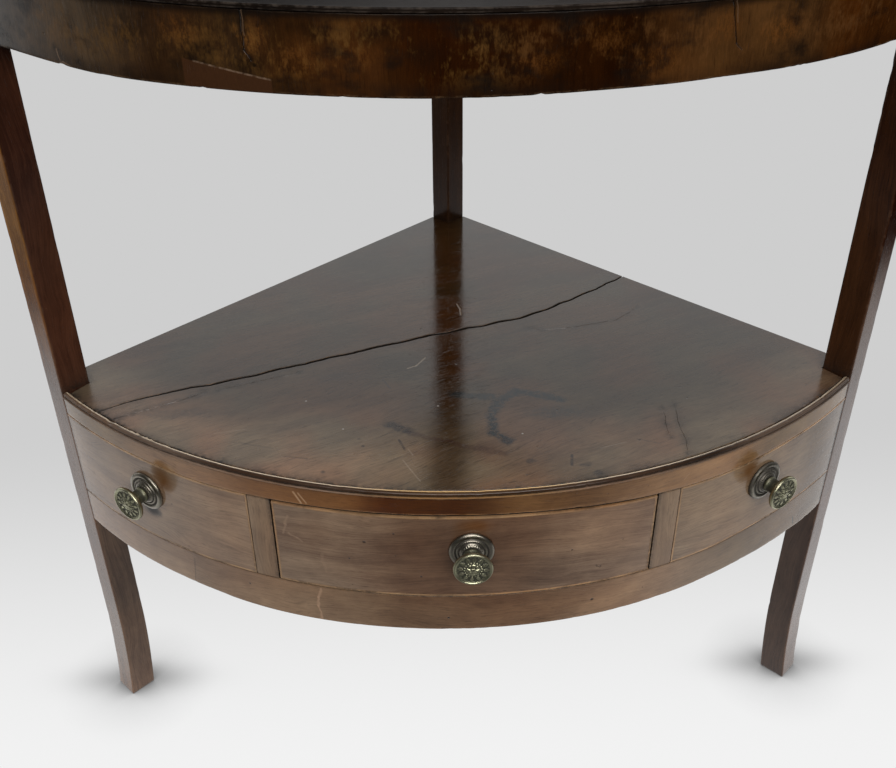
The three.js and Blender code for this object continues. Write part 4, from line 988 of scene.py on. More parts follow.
def frieze_marks(n, col, ro, h):
    p = flat2(n, n.attr("fp"))
    P1 = n.v("SCALE", p, scale=1000.0)
    x, z, _ = n.xyz(p)
    # golden mottling where the old finish is thin: vertical smears in clouds
    cl = n.noise(n.v("MULTIPLY", P1, (0.020, 0.030, 0.0)), 1.0, 4.0, 0.62)
    st = n.noise(n.v("MULTIPLY", P1, (0.24, 0.11, 0.0)), 1.0, 3.0, 0.65)
    st2 = n.noise(n.v("MULTIPLY", P1, (0.8, 0.30, 0.0)), 1.0, 3.0, 0.65)
    k = n.m("ADD", cl, n.m("MULTIPLY", n.m("SUBTRACT", st, 0.5), 0.60))
    k = n.m("ADD", k, n.m("MULTIPLY", n.m("SUBTRACT", st2, 0.5), 0.45))
    wx = n.m("MULTIPLY", n.m("SUBTRACT", st, 0.5), 0.026)
    wz = n.m("MULTIPLY", n.m("SUBTRACT", cl, 0.5), 0.020)
    pw = n.v("ADD", p, n.vec(wx, wz, 0.0))
    st3 = n.noise(n.v("MULTIPLY", P1, (1.3, 0.9, 0.0)), 1.0, 3.0, 0.7)
    worn = n.rng(n.m("ADD", n.m("MULTIPLY", st, 0.45), n.m("ADD", n.m("MULTIPLY", st2, 0.25), n.m("MULTIPLY", st3, 0.30))), 0.42, 0.60, 0.10, 1.0)
    for c, rx, rz, amt in (((-0.144, 0.600), 0.022, 0.011, 0.55), ((-0.1065, 0.600), 0.009, 0.014, 0.95), ((-0.0827, 0.589), 0.020, 0.012, 0.55),
                           ((-0.053, 0.590), 0.016, 0.010, 0.48), ((0.0345, 0.588), 0.020, 0.011, 0.50), ((0.070, 0.598), 0.018, 0.013, 0.40),
                           ((0.098, 0.586), 0.020, 0.010, 0.60), ((0.134, 0.598), 0.014, 0.012, 0.60), ((0.170, 0.595), 0.022, 0.012, 0.90)):
        col = n.mix(n.m("MULTIPLY", n.m("MULTIPLY", n.spot(pw, c, rx, rz, 1.0), worn), amt), col, (0.140, 0.049, 0.010))
    for c, rx, rz, amt in (((-0.180, 0.597), 0.018, 0.010, 0.60), ((-0.076, 0.604), 0.020, 0.008, 0.70), ((-0.044, 0.604), 0.020, 0.009, 0.75),
                           ((-0.022, 0.591), 0.014, 0.010, 0.50), ((0.010, 0.603), 0.024, 0.010, 0.65), ((-0.114, 0.587), 0.012, 0.008, 0.60)):
        col = n.mix(n.m("MULTIPLY", n.spot(pw, c, rx, rz, 1.0), amt), col, (0.008, 0.004, 0.002))
    band = n.m("MULTIPLY", n.rng(z, 0.574, 0.590, 0.15, 1.0), n.rng(z, 0.598, 0.6125, 1.0, 0.35))
    right = n.rng(x, -0.22, 0.02, 0.6, 1.0)
    k = n.m("MULTIPLY", n.rng(k, 0.44, 0.74), n.m("MULTIPLY", band, right))
    calm = n.rng(x, -0.005, 0.040, 0.0, 1.0)
    col = n.mix(n.m("MULTIPLY", k, 0.62), col, n.mix(calm, (0.150, 0.072, 0.018), (0.112, 0.047, 0.014)))
    dk = n.noise(n.v("MULTIPLY", n.v("ADD", P1, (211.0, 3.0, 0.0)), (0.030, 0.045, 0.0)), 1.0, 4.0, 0.6)
    col = n.mix(n.rng(dk, 0.52, 0.72, 0.0, 0.80), col, (0.007, 0.0045, 0.003))
    # dark along the top and the lower edge
    col = n.mix(n.rng(z, 0.6075, 0.6118, 0.0, 0.85), col, (0.006, 0.004, 0.003))
    nz = n.noise(P1, 0.07, 3.0)
    lo = n.m("MULTIPLY", n.rng(z, 0.5735, 0.582, 1.0, 0.0), n.rng(nz, 0.35, 0.65, 0.2, 1.0))
    col = n.mix(n.m("MULTIPLY", lo, 0.6), col, (0.010, 0.006, 0.004))
    # a let-in patch with a pale top line
    tl = n.m("ADD", n.m("MULTIPLY", n.m("SUBTRACT", x, -0.1415), -0.158), 0.5856)
    inside = n.m("MULTIPLY", n.rng(x, -0.1480, -0.1472, 0.0, 1.0), n.rng(x, -0.0992, -0.0984, 1.0, 0.0))
    below = n.rng(n.m("SUBTRACT", z, tl), -0.0003, 0.0002, 1.0, 0.0)
    col = n.mix(n.m("MULTIPLY", n.m("MULTIPLY", inside, below), 0.85), col, n.mix(st2, (0.040, 0.016, 0.007), (0.062, 0.026, 0.011)))
    ln = n.rng(n.m("ABSOLUTE", n.m("SUBTRACT", z, tl)), 0.0002, 0.0007, 1.0, 0.0)
    ln = n.m("MULTIPLY", ln, n.m("MULTIPLY", n.rng(x, -0.1420, -0.1410, 0.0, 1.0), n.rng(x, -0.0992, -0.0984, 1.0, 0.0)))
    lw = n.noise(P1, 0.30, 3.0)
    col = n.mix(n.m("MULTIPLY", ln, n.rng(lw, 0.38, 0.62, 0.10, 0.70)), col, (0.20, 0.13, 0.085))
    wob = n.m("MULTIPLY", n.m("SUBTRACT", n.noise(P1, 0.16, 3.0), 0.5), 0.0022)
    q = n.v("ADD", p, n.vec(wob, 0.0, 0.0))
    for a, b, w, amt in (((-0.1123, 0.6143), (-0.1120, 0.5930), 0.0006, 0.8), ((-0.1120, 0.5930), (-0.1085, 0.5880), 0.0005, 0.6),
                         ((0.1350, 0.6125), (0.1403, 0.5905), 0.0006, 0.75), ((0.1403, 0.5905), (0.1440, 0.5870), 0.0005, 0.4)):
        kk = n.seg(q, a, b, w)
        col = n.mix(n.m("MULTIPLY", kk, amt), col, (0.004, 0.003, 0.002))
        h = n.m("SUBTRACT", h, n.m("MULTIPLY", kk, 0.25))
    for a, b, w, amt in (((-0.1110, 0.6120), (-0.1108, 0.6000), 0.0005, 0.25), ((0.1370, 0.6115), (0.1393, 0.6010), 0.0005, 0.2),
                         ((-0.2330, 0.5815), (-0.2320, 0.5756), 0.0007, 0.40), ((-0.2300, 0.5750), (-0.2225, 0.5727), 0.0008, 0.38)):
        kk = n.seg(q, a, b, w)
        col = n.mix(n.m("MULTIPLY", kk, amt), col, (0.24, 0.15, 0.09))
    for c, rx, ry, tint in (((-0.1073, 0.5859), 0.0015, 0.0015, (0.004, 0.003, 0.002)), ((-0.2316, 0.5738), 0.0018, 0.0012, (0.20, 0.14, 0.10))):
        col = n.mix(n.m("MULTIPLY", n.spot(p, c, rx, ry), 0.8), col, tint)
    ro = n.m("ADD", ro, n.m("MULTIPLY", n.rng(dk, 0.5, 0.72), 0.10))
    return col, ro, h


MATS["shelf"] = wood("old_mahogany_shelf", (0.040, 0.021, 0.011), (0.120, 0.066, 0.032), WEAR, streak=0.42, fine=1.1, mottle=0.55, pores=0.6,
                     rough=0.085, rough_var=0.045, wave=0.30, bump=0.7, wear_and_highlight=0.6, seed=1.0, marks=shelf_marks, ribbon=0.10, hue_amt=0.05, fleck=0.50)
MATS["rail_upper"] = wood("mahogany_crossbanding", (0.080, 0.034, 0.012), (0.210, 0.100, 0.034), (0.30, 0.15, 0.06), streak=0.35, fine=0.8, mottle=0.8, pores=0.5,
                          rough=0.13, rough_var=0.05, seed=2.0, marks=rail_upper_marks, wear_and_highlight=0.55, wave=0.35)
MATS["rail_lower"] = wood("mahogany_rail_veneer", (0.085, 0.038, 0.018), (0.200, 0.105, 0.052), WEAR, streak=0.35, fine=0.9, mottle=0.9, pores=0.6,
                          rough=0.14, rough_var=0.05, seed=3.0, marks=rail_lower_marks, wear_and_highlight=0.5, wave=0.35)
MATS["drawer"] = wood("mahogany_drawer_veneer", (0.070, 0.032, 0.017), (0.165, 0.085, 0.045), WEAR, streak=0.7, fine=0.7, mottle=0.8, pores=0.5,
                      rough=0.13, rough_var=0.05, seed=4.0, marks=drawer_marks, wear_and_highlight=0.55, wave=0.4)
MATS["dummy_left"] = wood("mahogany_front_veneer_l", (0.075, 0.036, 0.019), (0.180, 0.098, 0.052), WEAR, streak=0.7, fine=0.7, mottle=0.7, pores=0.5,
                          rough=0.12, rough_var=0.05, seed=5.0, marks=dummy_marks(-1), wear_and_highlight=0.5, wave=0.4)
MATS["dummy_right"] = wood("mahogany_front_veneer_r", (0.075, 0.036, 0.019), (0.180, 0.098, 0.052), WEAR, streak=0.7, fine=0.7, mottle=0.7, pores=0.5,
                           rough=0.12, rough_var=0.05, seed=6.0, marks=dummy_marks(1), wear_and_highlight=0.5, wave=0.4)
MATS["stile"] = wood("mahogany_stile", (0.070, 0.032, 0.016), (0.150, 0.076, 0.038), WEAR, streak=0.7, fine=0.8, mottle=0.5, pores=0.5,
                     rough=0.13, rough_var=0.05, seed=7.0, wear_and_highlight=0.5, wave=0.35)
MATS["leg"] = wood("mahogany_leg", (0.050, 0.020, 0.010), (0.140, 0.062, 0.030), (0.12, 0.066, 0.040), streak=0.9, fine=0.8, mottle=0.7, pores=0.5,
                   rough=0.17, rough_var=0.06, seed=8.0, wear_and_highlight=0.30, wave=0.5, spec=0.36)
MATS["post"] = wood("mahogany_back_leg", (0.013, 0.0056, 0.0024), (0.036, 0.0155, 0.0060), (0.08, 0.04, 0.02), streak=0.8, fine=0.7, mottle=0.6, pores=0.4,
                    rough=0.22, rough_var=0.06, seed=9.0, wear_and_highlight=0.4, wave=0.5, spec=0.10)
MATS["frieze"] = wood("dark_mahogany_frieze", (0.016, 0.008, 0.004), (0.068, 0.033, 0.013), (0.17, 0.10, 0.05), streak=0.45, fine=0.5, mottle=0.8, pores=0.4,
                      rough=0.16, rough_var=0.06, seed=10.0, marks=frieze_marks, wear_and_highlight=0.45, wave=0.6, spec=0.15)
MATS["top"] = wood("dark_mahogany_top", (0.009, 0.0065, 0.0050), (0.034, 0.023, 0.017), (0.075, 0.058, 0.046), streak=0.5, fine=0.7, mottle=0.6, pores=0.4,
                   rough=0.32, rough_var=0.06, seed=11.0, wear_and_highlight=0.5, wave=0.4, spec=0.06)
# on the bead the pale arris colour paints a highlight along the top of its round
MATS["bead"] = wood("mahogany_bead", (0.030, 0.015, 0.008), (0.270, 0.190, 0.140), (0.86, 0.68, 0.48), streak=0.10, fine=0.10, mottle=0.08, pores=0.3,
                    rough=0.16, rough_var=0.04, seed=12.0, wear_and_highlight=1.0, wave=0.3, wear_and_highlight_lo=0.12, late=True, spec=0.35, fleck=0.1)
MATS["side"] = wood("mahogany_side", (0.055, 0.026, 0.014), (0.150, 0.075, 0.036), WEAR, streak=0.9, fine=0.8, mottle=0.8, pores=0.5,
                    rough=0.28, seed=13.0, wear_and_highlight=0.5, wave=0.7)
MATS["boxwood"] = wood("boxwood_line", (0.270, 0.155, 0.075), (0.500, 0.310, 0.160), (0.60, 0.40, 0.23), streak=0.5, fine=0.5, mottle=1.2, pores=0.1,
                       rough=0.25, rough_var=0.06, seed=14.0, wear_and_highlight=0.5, streak_w=0.8, wave=0.3, dirt_and_shade_col=(0.060, 0.036, 0.021))
MATS["pine"] = wood("old_pine", (0.150, 0.080, 0.036), (0.400, 0.255, 0.130), (0.46, 0.31, 0.17), streak=1.3, fine=0.4, mottle=0.5, pores=0.05,
                    rough=0.62, rough_var=0.08, seed=15.0, wear_and_highlight=0.3, streak_w=0.28, wave=0.3, spec=0.35)
MATS["oak"] = wood("old_oak", (0.110, 0.066, 0.034), (0.300, 0.195, 0.105), (0.36, 0.25, 0.15), streak=1.0, fine=1.0, mottle=0.6, pores=0.9,
                   rough=0.55, rough_var=0.08, seed=16.0, wear_and_highlight=0.3, streak_w=0.4, wave=0.3, spec=0.4)
MATS["brass"] = metal("stamped_brass", (0.41, 0.38, 0.26), (0.034, 0.033, 0.024), rough=0.30, patina_amt=0.92)
MATS["bronze"] = metal("toned_brass_backplate", (0.27, 0.235, 0.195), (0.044, 0.037, 0.031), rough=0.30, patina_amt=0.85, grime_bias=0.10)
MATS["nut"] = metal("old_brass_nut", (0.30, 0.24, 0.13), (0.06, 0.045, 0.028), rough=0.42, patina_amt=0.85, grime_bias=0.12)


# ------------------------------------------------------------------ grain directions
def along_bow(V):
    r = np.hypot(V[:, 0], V[:, 1] + BC)
    phi = np.arctan2(V[:, 0], -(V[:, 1] + BC))
    return np.stack([R * phi, V[:, 2], r - R], -1)


def up_bow(V):
    g = along_bow(V)
    return g[:, [1, 0, 2]]


def tn(V, side):
    x, y = V[:, 0] * side, -V[:, 1]
    return np.stack([(x + y) * S, (y - x) * S, V[:, 2]], -1)   # t, n, z


def up_leg(side):
    def f(V):
        q = tn(V, side)
        return np.stack([q[:, 2], q[:, 0] + 40 * side, q[:, 1]], -1)
    return f


def along_side(side):
    def f(V):
        q = tn(V, side)
        return np.stack([q[:, 0], q[:, 2], q[:, 1]], -1)
    return f


def split_grain(V):
    a = math.radians(25.6)
    x = V[:, 0] * math.cos(a) + V[:, 1] * math.sin(a)
    y = -V[:, 0] * math.sin(a) + V[:, 1] * math.cos(a)
    return np.stack([x, y, V[:, 2]], -1)


def along_x(V):
    return V.copy()


def along_y(V):
    return V[:, [1, 0, 2]]


def from_tnz(side):
    def f(V):      # (t, n, z) -> plan
        return np.stack([side * (V[:, 0] - V[:, 1]) * S, -(V[:, 0] + V[:, 1]) * S, V[:, 2]], -1)
    return f


def from_tzn(side):
    def f(V):      # (t, z, n) -> plan
        return np.stack([side * (V[:, 0] - V[:, 2]) * S, -(V[:, 0] + V[:, 2]) * S, V[:, 1]], -1)
    return f


def shift(f, *d):
    return lambda V: f(V) + np.array(d)


# ------------------------------------------------------------------ how the colour changes across a piece: painted light and sheen, with the finish's own changes
def blend(k, a, b):
    k = np.asarray(k)[:, None]
    return np.array(a)[None] * (1 - k) + np.array(b)[None] * k


def arc(V):
    return R * np.arctan2(V[:, 0], -(V[:, 1] + BC))


def sides_pale(mid, side, x0, x1, end=None, e0=0.0, e1=0.0):
    """the sides of a front painted lighter and greyer than the middle, painted sheen together with the finish's own
    paler colour; the far right end darker again
    """
    def f(V):
        x = arc(V) + 4.0 * fbm(V / 30.0, 911, 2)
        c = blend(smooth01((np.abs(x) - x0) / (x1 - x0)), mid, side)
        if end is not None:
            k = smooth01((x - e0) / (e1 - e0))[:, None]
            c = c * (1 - k) + np.array(end)[None] * k
        return c
    return f


# ------------------------------------------------------------------ legs
def leg(plan_corners, z0, z1, centre_fn, rad=1.1, seed=5, step=3.5, nick=0.55):
    """a square leg: plan corners in (t, n) about a centre line that may sweep; eased and worn arrises"""
    sec, wr = round_section([(t, n, rad) for t, n in plan_corners], step=5.0, seg=3, support=1.6)
    if area2(sec) < 0:
        sec, wr = sec[::-1], wr[::-1]
    zs = [z0, z0 + 0.35, z0 + 1.0] + list(np.arange(z0 + 2.5, z1 - 2.0, step)) + [z1 - 0.8, z1 - 0.25, z1]
    ins = {0: 0.9, 1: 0.35, len(zs) - 2: 0.2, len(zs) - 1: 0.6}
    V, W = [], []
    c = sec.mean(0)
    for i, z in enumerate(zs):
        s = offset_loop(sec, ins[i]) if i in ins else sec
        ctr = centre_fn(z)
        q = s + np.array(ctr)
        V.append(np.column_stack([q, np.full(len(q), z)]))
        W.append(np.maximum(wr, 1.0 if i in ins else 0.0))
    V, W = np.concatenate(V), np.concatenate(W)
    n = len(sec)
    F = []
    for i in range(len(zs) - 1):
        for j in range(n):
            a, b = i * n + j, i * n + (j + 1) % n
            F.append((a, b, b + n, a + n))
    F.append(tuple(range(n - 1, -1, -1)))
    F.append(tuple(range((len(zs) - 1) * n, len(zs) * n)))
    # worn and knocked arrises
    ctr = np.array([centre_fn(z) for z in V[:, 2]]) + c
    d = ctr - V[:, :2]
    q = np.sign(d) / math.sqrt(2)
    amt = np.clip(fbm(V / 14.0, seed, 3) * 0.5 - 0.05, 0, 1) * nick + np.clip(fbm(V * np.array([1, 1, 0.35]) / 3.4, seed + 5, 2) - 0.8, 0, 1) * nick * 3.0
    V[:, :2] += q * (amt * W)[:, None]
    m = Mesh()
    m.add(V, F, W)
    return m


for name, side in (("left", -1), ("right", 1)):
    def centre(z):
        k = max(0.0, (SPLAY_FROM - z) / SPLAY_FROM)
        return (LEG_SPLAY * k * k, 0.0)
    centre_of = centre
    m = leg([(SIDE, 0), (SIDE, LEG), (SIDE - LEG, LEG), (SIDE - LEG, 0)], 0.0, LEG_TOP, centre, seed=20 + side)
    V = from_tnz(side)(m.verts())
    F = m.f if side < 0 else [f[::-1] for f in m.f]
    # keep faces outward whichever side
    def leg_grime(V, side=side):
        z = V[:, 2]
        q = tn(V, side)
        inner = np.clip((q[:, 1] - (LEG - 2.2)) / 2.0, 0, 1) + np.clip(((SIDE - LEG + 2.2) - q[:, 0]) / 2.0, 0, 1)
        a = np.exp(-np.clip(z - SHELF_TOP, 0, None) / 5.0) * (z >= SHELF_TOP - 1) * np.clip(inner, 0, 1) * 0.95
        b = np.exp(-np.clip(FRIEZE_BOTTOM - z, 0, None) / 14.0) * (z <= FRIEZE_BOTTOM + 2) * 0.75
        c = np.exp(-z / 2.0) * 0.55
        return np.clip(a + b + c, 0, 1)
    def leg_tone(V, side=side):
        z = V[:, 2]
        up = smooth01((z - 330) / 230.0) * -0.34          # darker towards the frieze
        return up + fbm(V / 40.0, 31 + side, 3) * 0.10
    # the legs' colour scaled for how light falls on them: the left leg's outer face painted lit from the left, with a
    # painted shadow just under the case; the right leg's outer face and both inner faces painted shaded towards the
    # top; the lower legs lighter near the floor
    def leg_mul(V, side=side):
        z, q = V[:, 2], tn(V, side)
        swept = np.array([centre_of(v)[0] for v in z])
        outer = smooth01((q[:, 0] - swept - (SIDE - 0.75)) / 0.6)
        if side < 0:
            inn = blend(smooth01((z - 180) / 180.0), (0.85, 1.20, 1.60), (0.58, 0.50, 0.55)) * (1 + 1.0 * (1 - smooth01((z + 10) / 140.0)))[:, None]
            out = blend(smooth01((z - 320) / 90.0), (1.32, 1.48, 1.64), (2.65, 2.45, 1.20))
            out = out * blend(smooth01((z - 405) / 50.0), (1, 1, 1), (1.40, 1.62, 1.60)) * (1 + 0.50 * (1 - smooth01((z - 14) / 44.0)) - 0.36 * np.exp(-((z - 180) / 16.0) ** 2))[:, None]
            out = out * blend(smooth01((z - 90) / 60.0), (1.02, 1.17, 1.24), (1, 1, 1))
        else:
            inn = blend(smooth01((z - 180) / 180.0), (0.50, 0.69, 1.00), (0.40, 0.34, 0.26))
            out = blend(smooth01((z - 380) / 60.0), (0.88, 0.90, 0.91), (0.25, 0.13, 0.04)) * blend(smooth01((z - 90) / 60.0), (1.02, 1.11, 1.17), (1, 1, 1))
        k = outer[:, None]
        return inn * (1 - k) + out * k
    mm = Mesh(); mm.add(V, F, m.wear_and_highlight())
    put(f"leg_front_{name}", mm, MATS["leg"], gc=up_leg(side), dirt_and_shade=leg_grime, tone=leg_tone, mul=leg_mul)

POST_RAD = 1.2
m = leg([(0, 0), (POST, 0), (POST, POST), (0, POST)], 0.0, LEG_TOP, lambda z: (0.0, 0.0), rad=POST_RAD, seed=40, nick=0.35)
V = from_tnz(1)(m.verts())


def post_grime(V):
    z = V[:, 2]
    a = np.exp(-np.clip(z - SHELF_TOP, 0, None) / 4.0) * (z >= SHELF_TOP - 1) * 0.9
    b = np.exp(-np.clip(FRIEZE_BOTTOM - z, 0, None) / 10.0) * (z <= FRIEZE_BOTTOM + 2) * 0.6
    return np.clip(a + b, 0, 1)


mm = Mesh(); mm.add(V, [f[::-1] for f in m.f], m.wear_and_highlight())
put("leg_back", mm, MATS["post"], gc=up_leg(1), dirt_and_shade=post_grime)

# ------------------------------------------------------------------ side boards of both tiers
for name, side in (("left", -1), ("right", 1)):
    for kind, z0, z1 in (("case", CASE_BOTTOM, CASE_TOP), ("frieze", FRIEZE_BOTTOM, FRIEZE_SIDE_TOP)):
        node = f"{kind}_side_{name}"
        m = rbox(from_tzn(side), (POST + GAP, SIDE - LEG - GAP), (z0, z1), (CSI, CSI + CST), bev=0.6, step=8.0)
        def g(V, side=side):
            q = tn(V, side)
            e = np.exp(-(q[:, 0] - POST) / 5.0) + np.exp(-((SIDE - LEG) - q[:, 0]) / 5.0)
            return np.clip(e * 0.6, 0, 1)
        put(node, m, MATS["side"] if kind == "case" else MATS["top"], gc=shift(along_side(side), 40 * side, 300 if kind == "case" else 0, 0),
            dirt_and_shade=g, slot="mahogany")


# ------------------------------------------------------------------ bowed rails, stiles, dummy fronts
def up_tone(seed, amp=0.14, scale=26.0):
    return lambda V: fbm(V / scale, seed, 3) * amp


legL, legR = at_leg(LEG + GAP, -1), at_leg(LEG + GAP, 1)


def near_leg_grime(V, amt=0.55):
    phi = np.arctan2(V[:, 0], -(V[:, 1] + BC))
    dist = (legR(R) - np.abs(phi)) * R
    return np.clip(np.exp(-np.clip(dist, 0, None) / 1.1) * amt * np.where(V[:, 0] > 0, 4.2, 2.2), 0, 2.5)


sec, wr = round_section([(R - 20, CASE_BOTTOM, 0.8), (R, CASE_BOTTOM, 1.3), (R, LRT, 0.35), (R - 20, LRT, 0.4)], step=5.5)
m = bow_bar(sec, wr, legL, legR, step=3.0, nick=0.55, seed=61)


def lower_grime(V):
    z = level(V)[:, 2]
    return np.clip(near_leg_grime(V) + np.exp(-np.clip(LRT - z, 0, None) / 0.5) * 0.75, 0, 2.5)


put("rail_lower_front", m, MATS["rail_lower"], gc=shift(along_bow, 60, 310, 0), dirt_and_shade=lower_grime, mul=sides_pale((1.02, 1.14, 1.25), (1.60, 2.00, 2.40), 45, 100, (0.95, 1.2, 1.3), 130, 215),
    tone=lambda V: fbm(V / 30.0, 71, 3) * 0.16 + 0.05)

sec, wr = round_section([(R - 18, URB, 0.4), (R, URB, 0.7), (R, URT, 0.25), (R - 4.6, URT, 0.0), (R - 4.6, CASE_TOP, 0.0), (R - 18, CASE_TOP, 0.4)], step=5.0)
m = bow_bar(sec, wr, legL, legR, step=3.0, nick=0.35, seed=62)


# the upper rail's colour scaled along the bow: darker in the middle, lighter and greyer towards both ends, painted
# sheen together with the veneer's own tone
def upper_mul(V):
    x = np.abs(arc(V) + 24.0 + 5.0 * fbm(V / 30.0, 912, 2))
    c = blend(smooth01((x - 22) / 45.0), (0.40, 0.24, 0.08), (1.0, 1.02, 1.05))
    k = smooth01((x - 105) / 60.0)[:, None]
    c = c * (1 - k) + np.array((1.75, 2.1, 2.9))[None] * k
    k = smooth01((x - 200) / 60.0)[:, None]
    return c * (1 - k) + np.array((1.15, 1.5, 1.9))[None] * k


put("rail_upper_front", m, MATS["rail_upper"], gc=shift(along_bow, 20, 420, 0), mul=upper_mul,
    dirt_and_shade=lambda V: np.clip(near_leg_grime(V) + np.exp(-np.clip(URT - V[:, 2], 0, None) / 0.5) * 0.7, 0, 2.5),
    tone=lambda V: fbm(V / 34.0, 72, 3) * 0.2 - 0.02)

for name, side in (("left", -1), ("right", 1)):
    a = at_x(-STILE_OUT + GAP / 2) if side < 0 else at_x(OPEN_HALF)
    b = at_x(-OPEN_HALF) if side < 0 else at_x(STILE_OUT - GAP / 2)
    sec, wr = round_section([(R - 18, MID0, 0.4), (R, MID0, 0.3), (R, MID1, 0.3), (R - 18, MID1, 0.4)], step=5.0)
    m = bow_bar(sec, wr, a, b, step=3.0, bev=0.45, nick=0.3, seed=63 + side)

    def st_grime(V, side=side):
        z = level(V)[:, 2]
        e = np.exp(-(z - MID0) / 0.6) + np.exp(-(MID1 - z) / 0.6) + 2.0 * np.exp(-np.clip(np.abs(V[:, 0]) - OPEN_HALF, 0, None) / 0.7)
        return np.clip(e * 0.55, 0, 1)
    put(f"stile_{name}", m, MATS["stile"], gc=shift(up_bow, 0, 50 * side, 0), dirt_and_shade=st_grime, tone=up_tone(80 + side, 0.12, 18.0), mul=lambda V: blend(np.zeros(len(V)), (1.9, 2.6, 3.2), (1, 1, 1)))


def rabbet_bar(thick, z0, z1, end_a, end_b, rab_a, rab_b, step=3.0):
    """a front with shallow rabbets for the stringing along top and bottom and at one or both ends"""
    d, w = LINE_D + GAP, LINE + 0.06
    base = [(R - thick, z0, 0.4), (R - d, z0, 0.0), (R - d, z0 + w, 0.0), (R, z0 + w, 0.06), (R, z1 - w, 0.06), (R - d, z1 - w, 0.0), (R - d, z1, 0.0), (R - thick, z1, 0.4)]
    sec, wr = round_section(base, step=4.0, seg=2, support=1.0)
    if area2(sec) < 0:
        sec, wr = sec[::-1], wr[::-1]
    length = abs(end_b(R) - end_a(R)) * R
    sgn = 1 if end_b(R) > end_a(R) else -1
    def ring(dist, low, inset=0.0):
        s = sec.copy()
        if low:
            s[:, 0] = np.minimum(s[:, 0], R - d)
        if inset:
            c = np.array([(R - thick + (R - d)) / 2, (z0 + z1) / 2])
            s = s + np.sign(c - s) * inset
        fr = dist / length
        ra = np.array([end_a(x) for x in s[:, 0]])
        rb = np.array([end_b(x) for x in s[:, 0]])
        phi = ra * (1 - fr) + rb * fr
        return np.column_stack([bow(phi, s[:, 0]), s[:, 1]])
    rings, W = [], []
    def push(dist, low, inset=0.0, w_=0.0):
        rings.append(ring(dist, low, inset)); W.append(np.maximum(wr, w_))
    push(0.0, rab_a, 0.4, 1.0)
    push(0.3, rab_a)
    if rab_a:
        push(w, True); push(w + 0.001, False, 0.0, 1.0)
        start = w + 0.35
    else:
        start = 0.7
    end = length - (w + 0.35 if rab_b else 0.7)
    k = max(2, int((end - start) // step))
    for x in np.linspace(start, end, k + 1):
        push(float(x), False)
    if rab_b:
        push(length - w - 0.001, False, 0.0, 1.0); push(length - w, True)
    push(length - 0.3, rab_b)
    push(length, rab_b, 0.4, 1.0)
    n = len(sec)
    V, Wv = np.concatenate(rings), np.concatenate(W)
    F = []
    kk = len(rings)
    for i in range(kk - 1):
        for j in range(n):
            a, b = i * n + j, i * n + (j + 1) % n
            F.append((a, b, b + n, a + n))
    F.append(tuple(range(n - 1, -1, -1)))
    F.append(tuple(range((kk - 1) * n, kk * n)))
    if sgn > 0:
        F = [f[::-1] for f in F]
    m = Mesh()
    m.add(off_level(V), F, Wv)
    return m


def frame_bar(z0, z1, closed_a, closed_b, ea, eb, step=3.0):
    """the stringing as one mitred strip: a closed frame, or a U open towards the leg"""
    lw = LINE
    out = Mesh()
    r0, r1 = R - LINE_D, R
    la = ea(R) * R
    lb = eb(R) * R
    s = 1 if lb > la else -1
    length = abs(lb - la)
    k = max(2, int(length // step))
    ds = list(np.linspace(0, length, k + 1))
    if closed_a:
        ds = sorted(set([0.0, lw] + [x for x in ds if x > lw + 0.4]))
    if closed_b:
        ds = sorted(set([x for x in ds if x < length - lw - 0.4] + [length - lw, length]))
    zl = [z0, z0 + lw, z1 - lw, z1]
    # cells of the strip, seen from the front: columns along the bow, three rows
    V, F, idx = [], [], {}
    def vert(i, j, front):
        key = (i, j, front)
        if key not in idx:
            r = r1 if front else r0
            fr = ds[i] / length
            phi = ea(r) * (1 - fr) + eb(r) * fr
            x, y = r * math.sin(phi), -BC - r * math.cos(phi)
            idx[key] = len(V)
            V.append((x, y, zl[j]))
        return idx[key]
    nc = len(ds) - 1
    def filled(i, j):
        if i < 0 or i >= nc or j < 0 or j > 2:
            return False
        if j in (0, 2):
            return True
        return (closed_a and i == 0) or (closed_b and i == nc - 1)
    for i in range(nc):
        for j in range(3):
            if not filled(i, j):
                continue
            a, b, c, d = (i, j), (i + 1, j), (i + 1, j + 1), (i, j + 1)
            F.append(tuple(vert(*q, True) for q in (a, b, c, d)))
            F.append(tuple(vert(*q, False) for q in (d, c, b, a)))
            for (p, q, ni, nj) in ((a, b, i, j - 1), (b, c, i + 1, j), (c, d, i, j + 1), (d, a, i - 1, j)):
                if not filled(ni, nj):
                    F.append((vert(*q, True), vert(*p, True), vert(*p, False), vert(*q, False)))
    if s < 0:
        F = [f[::-1] for f in F]
    out.add(off_level(np.array(V)), F, 0.0)
    return out


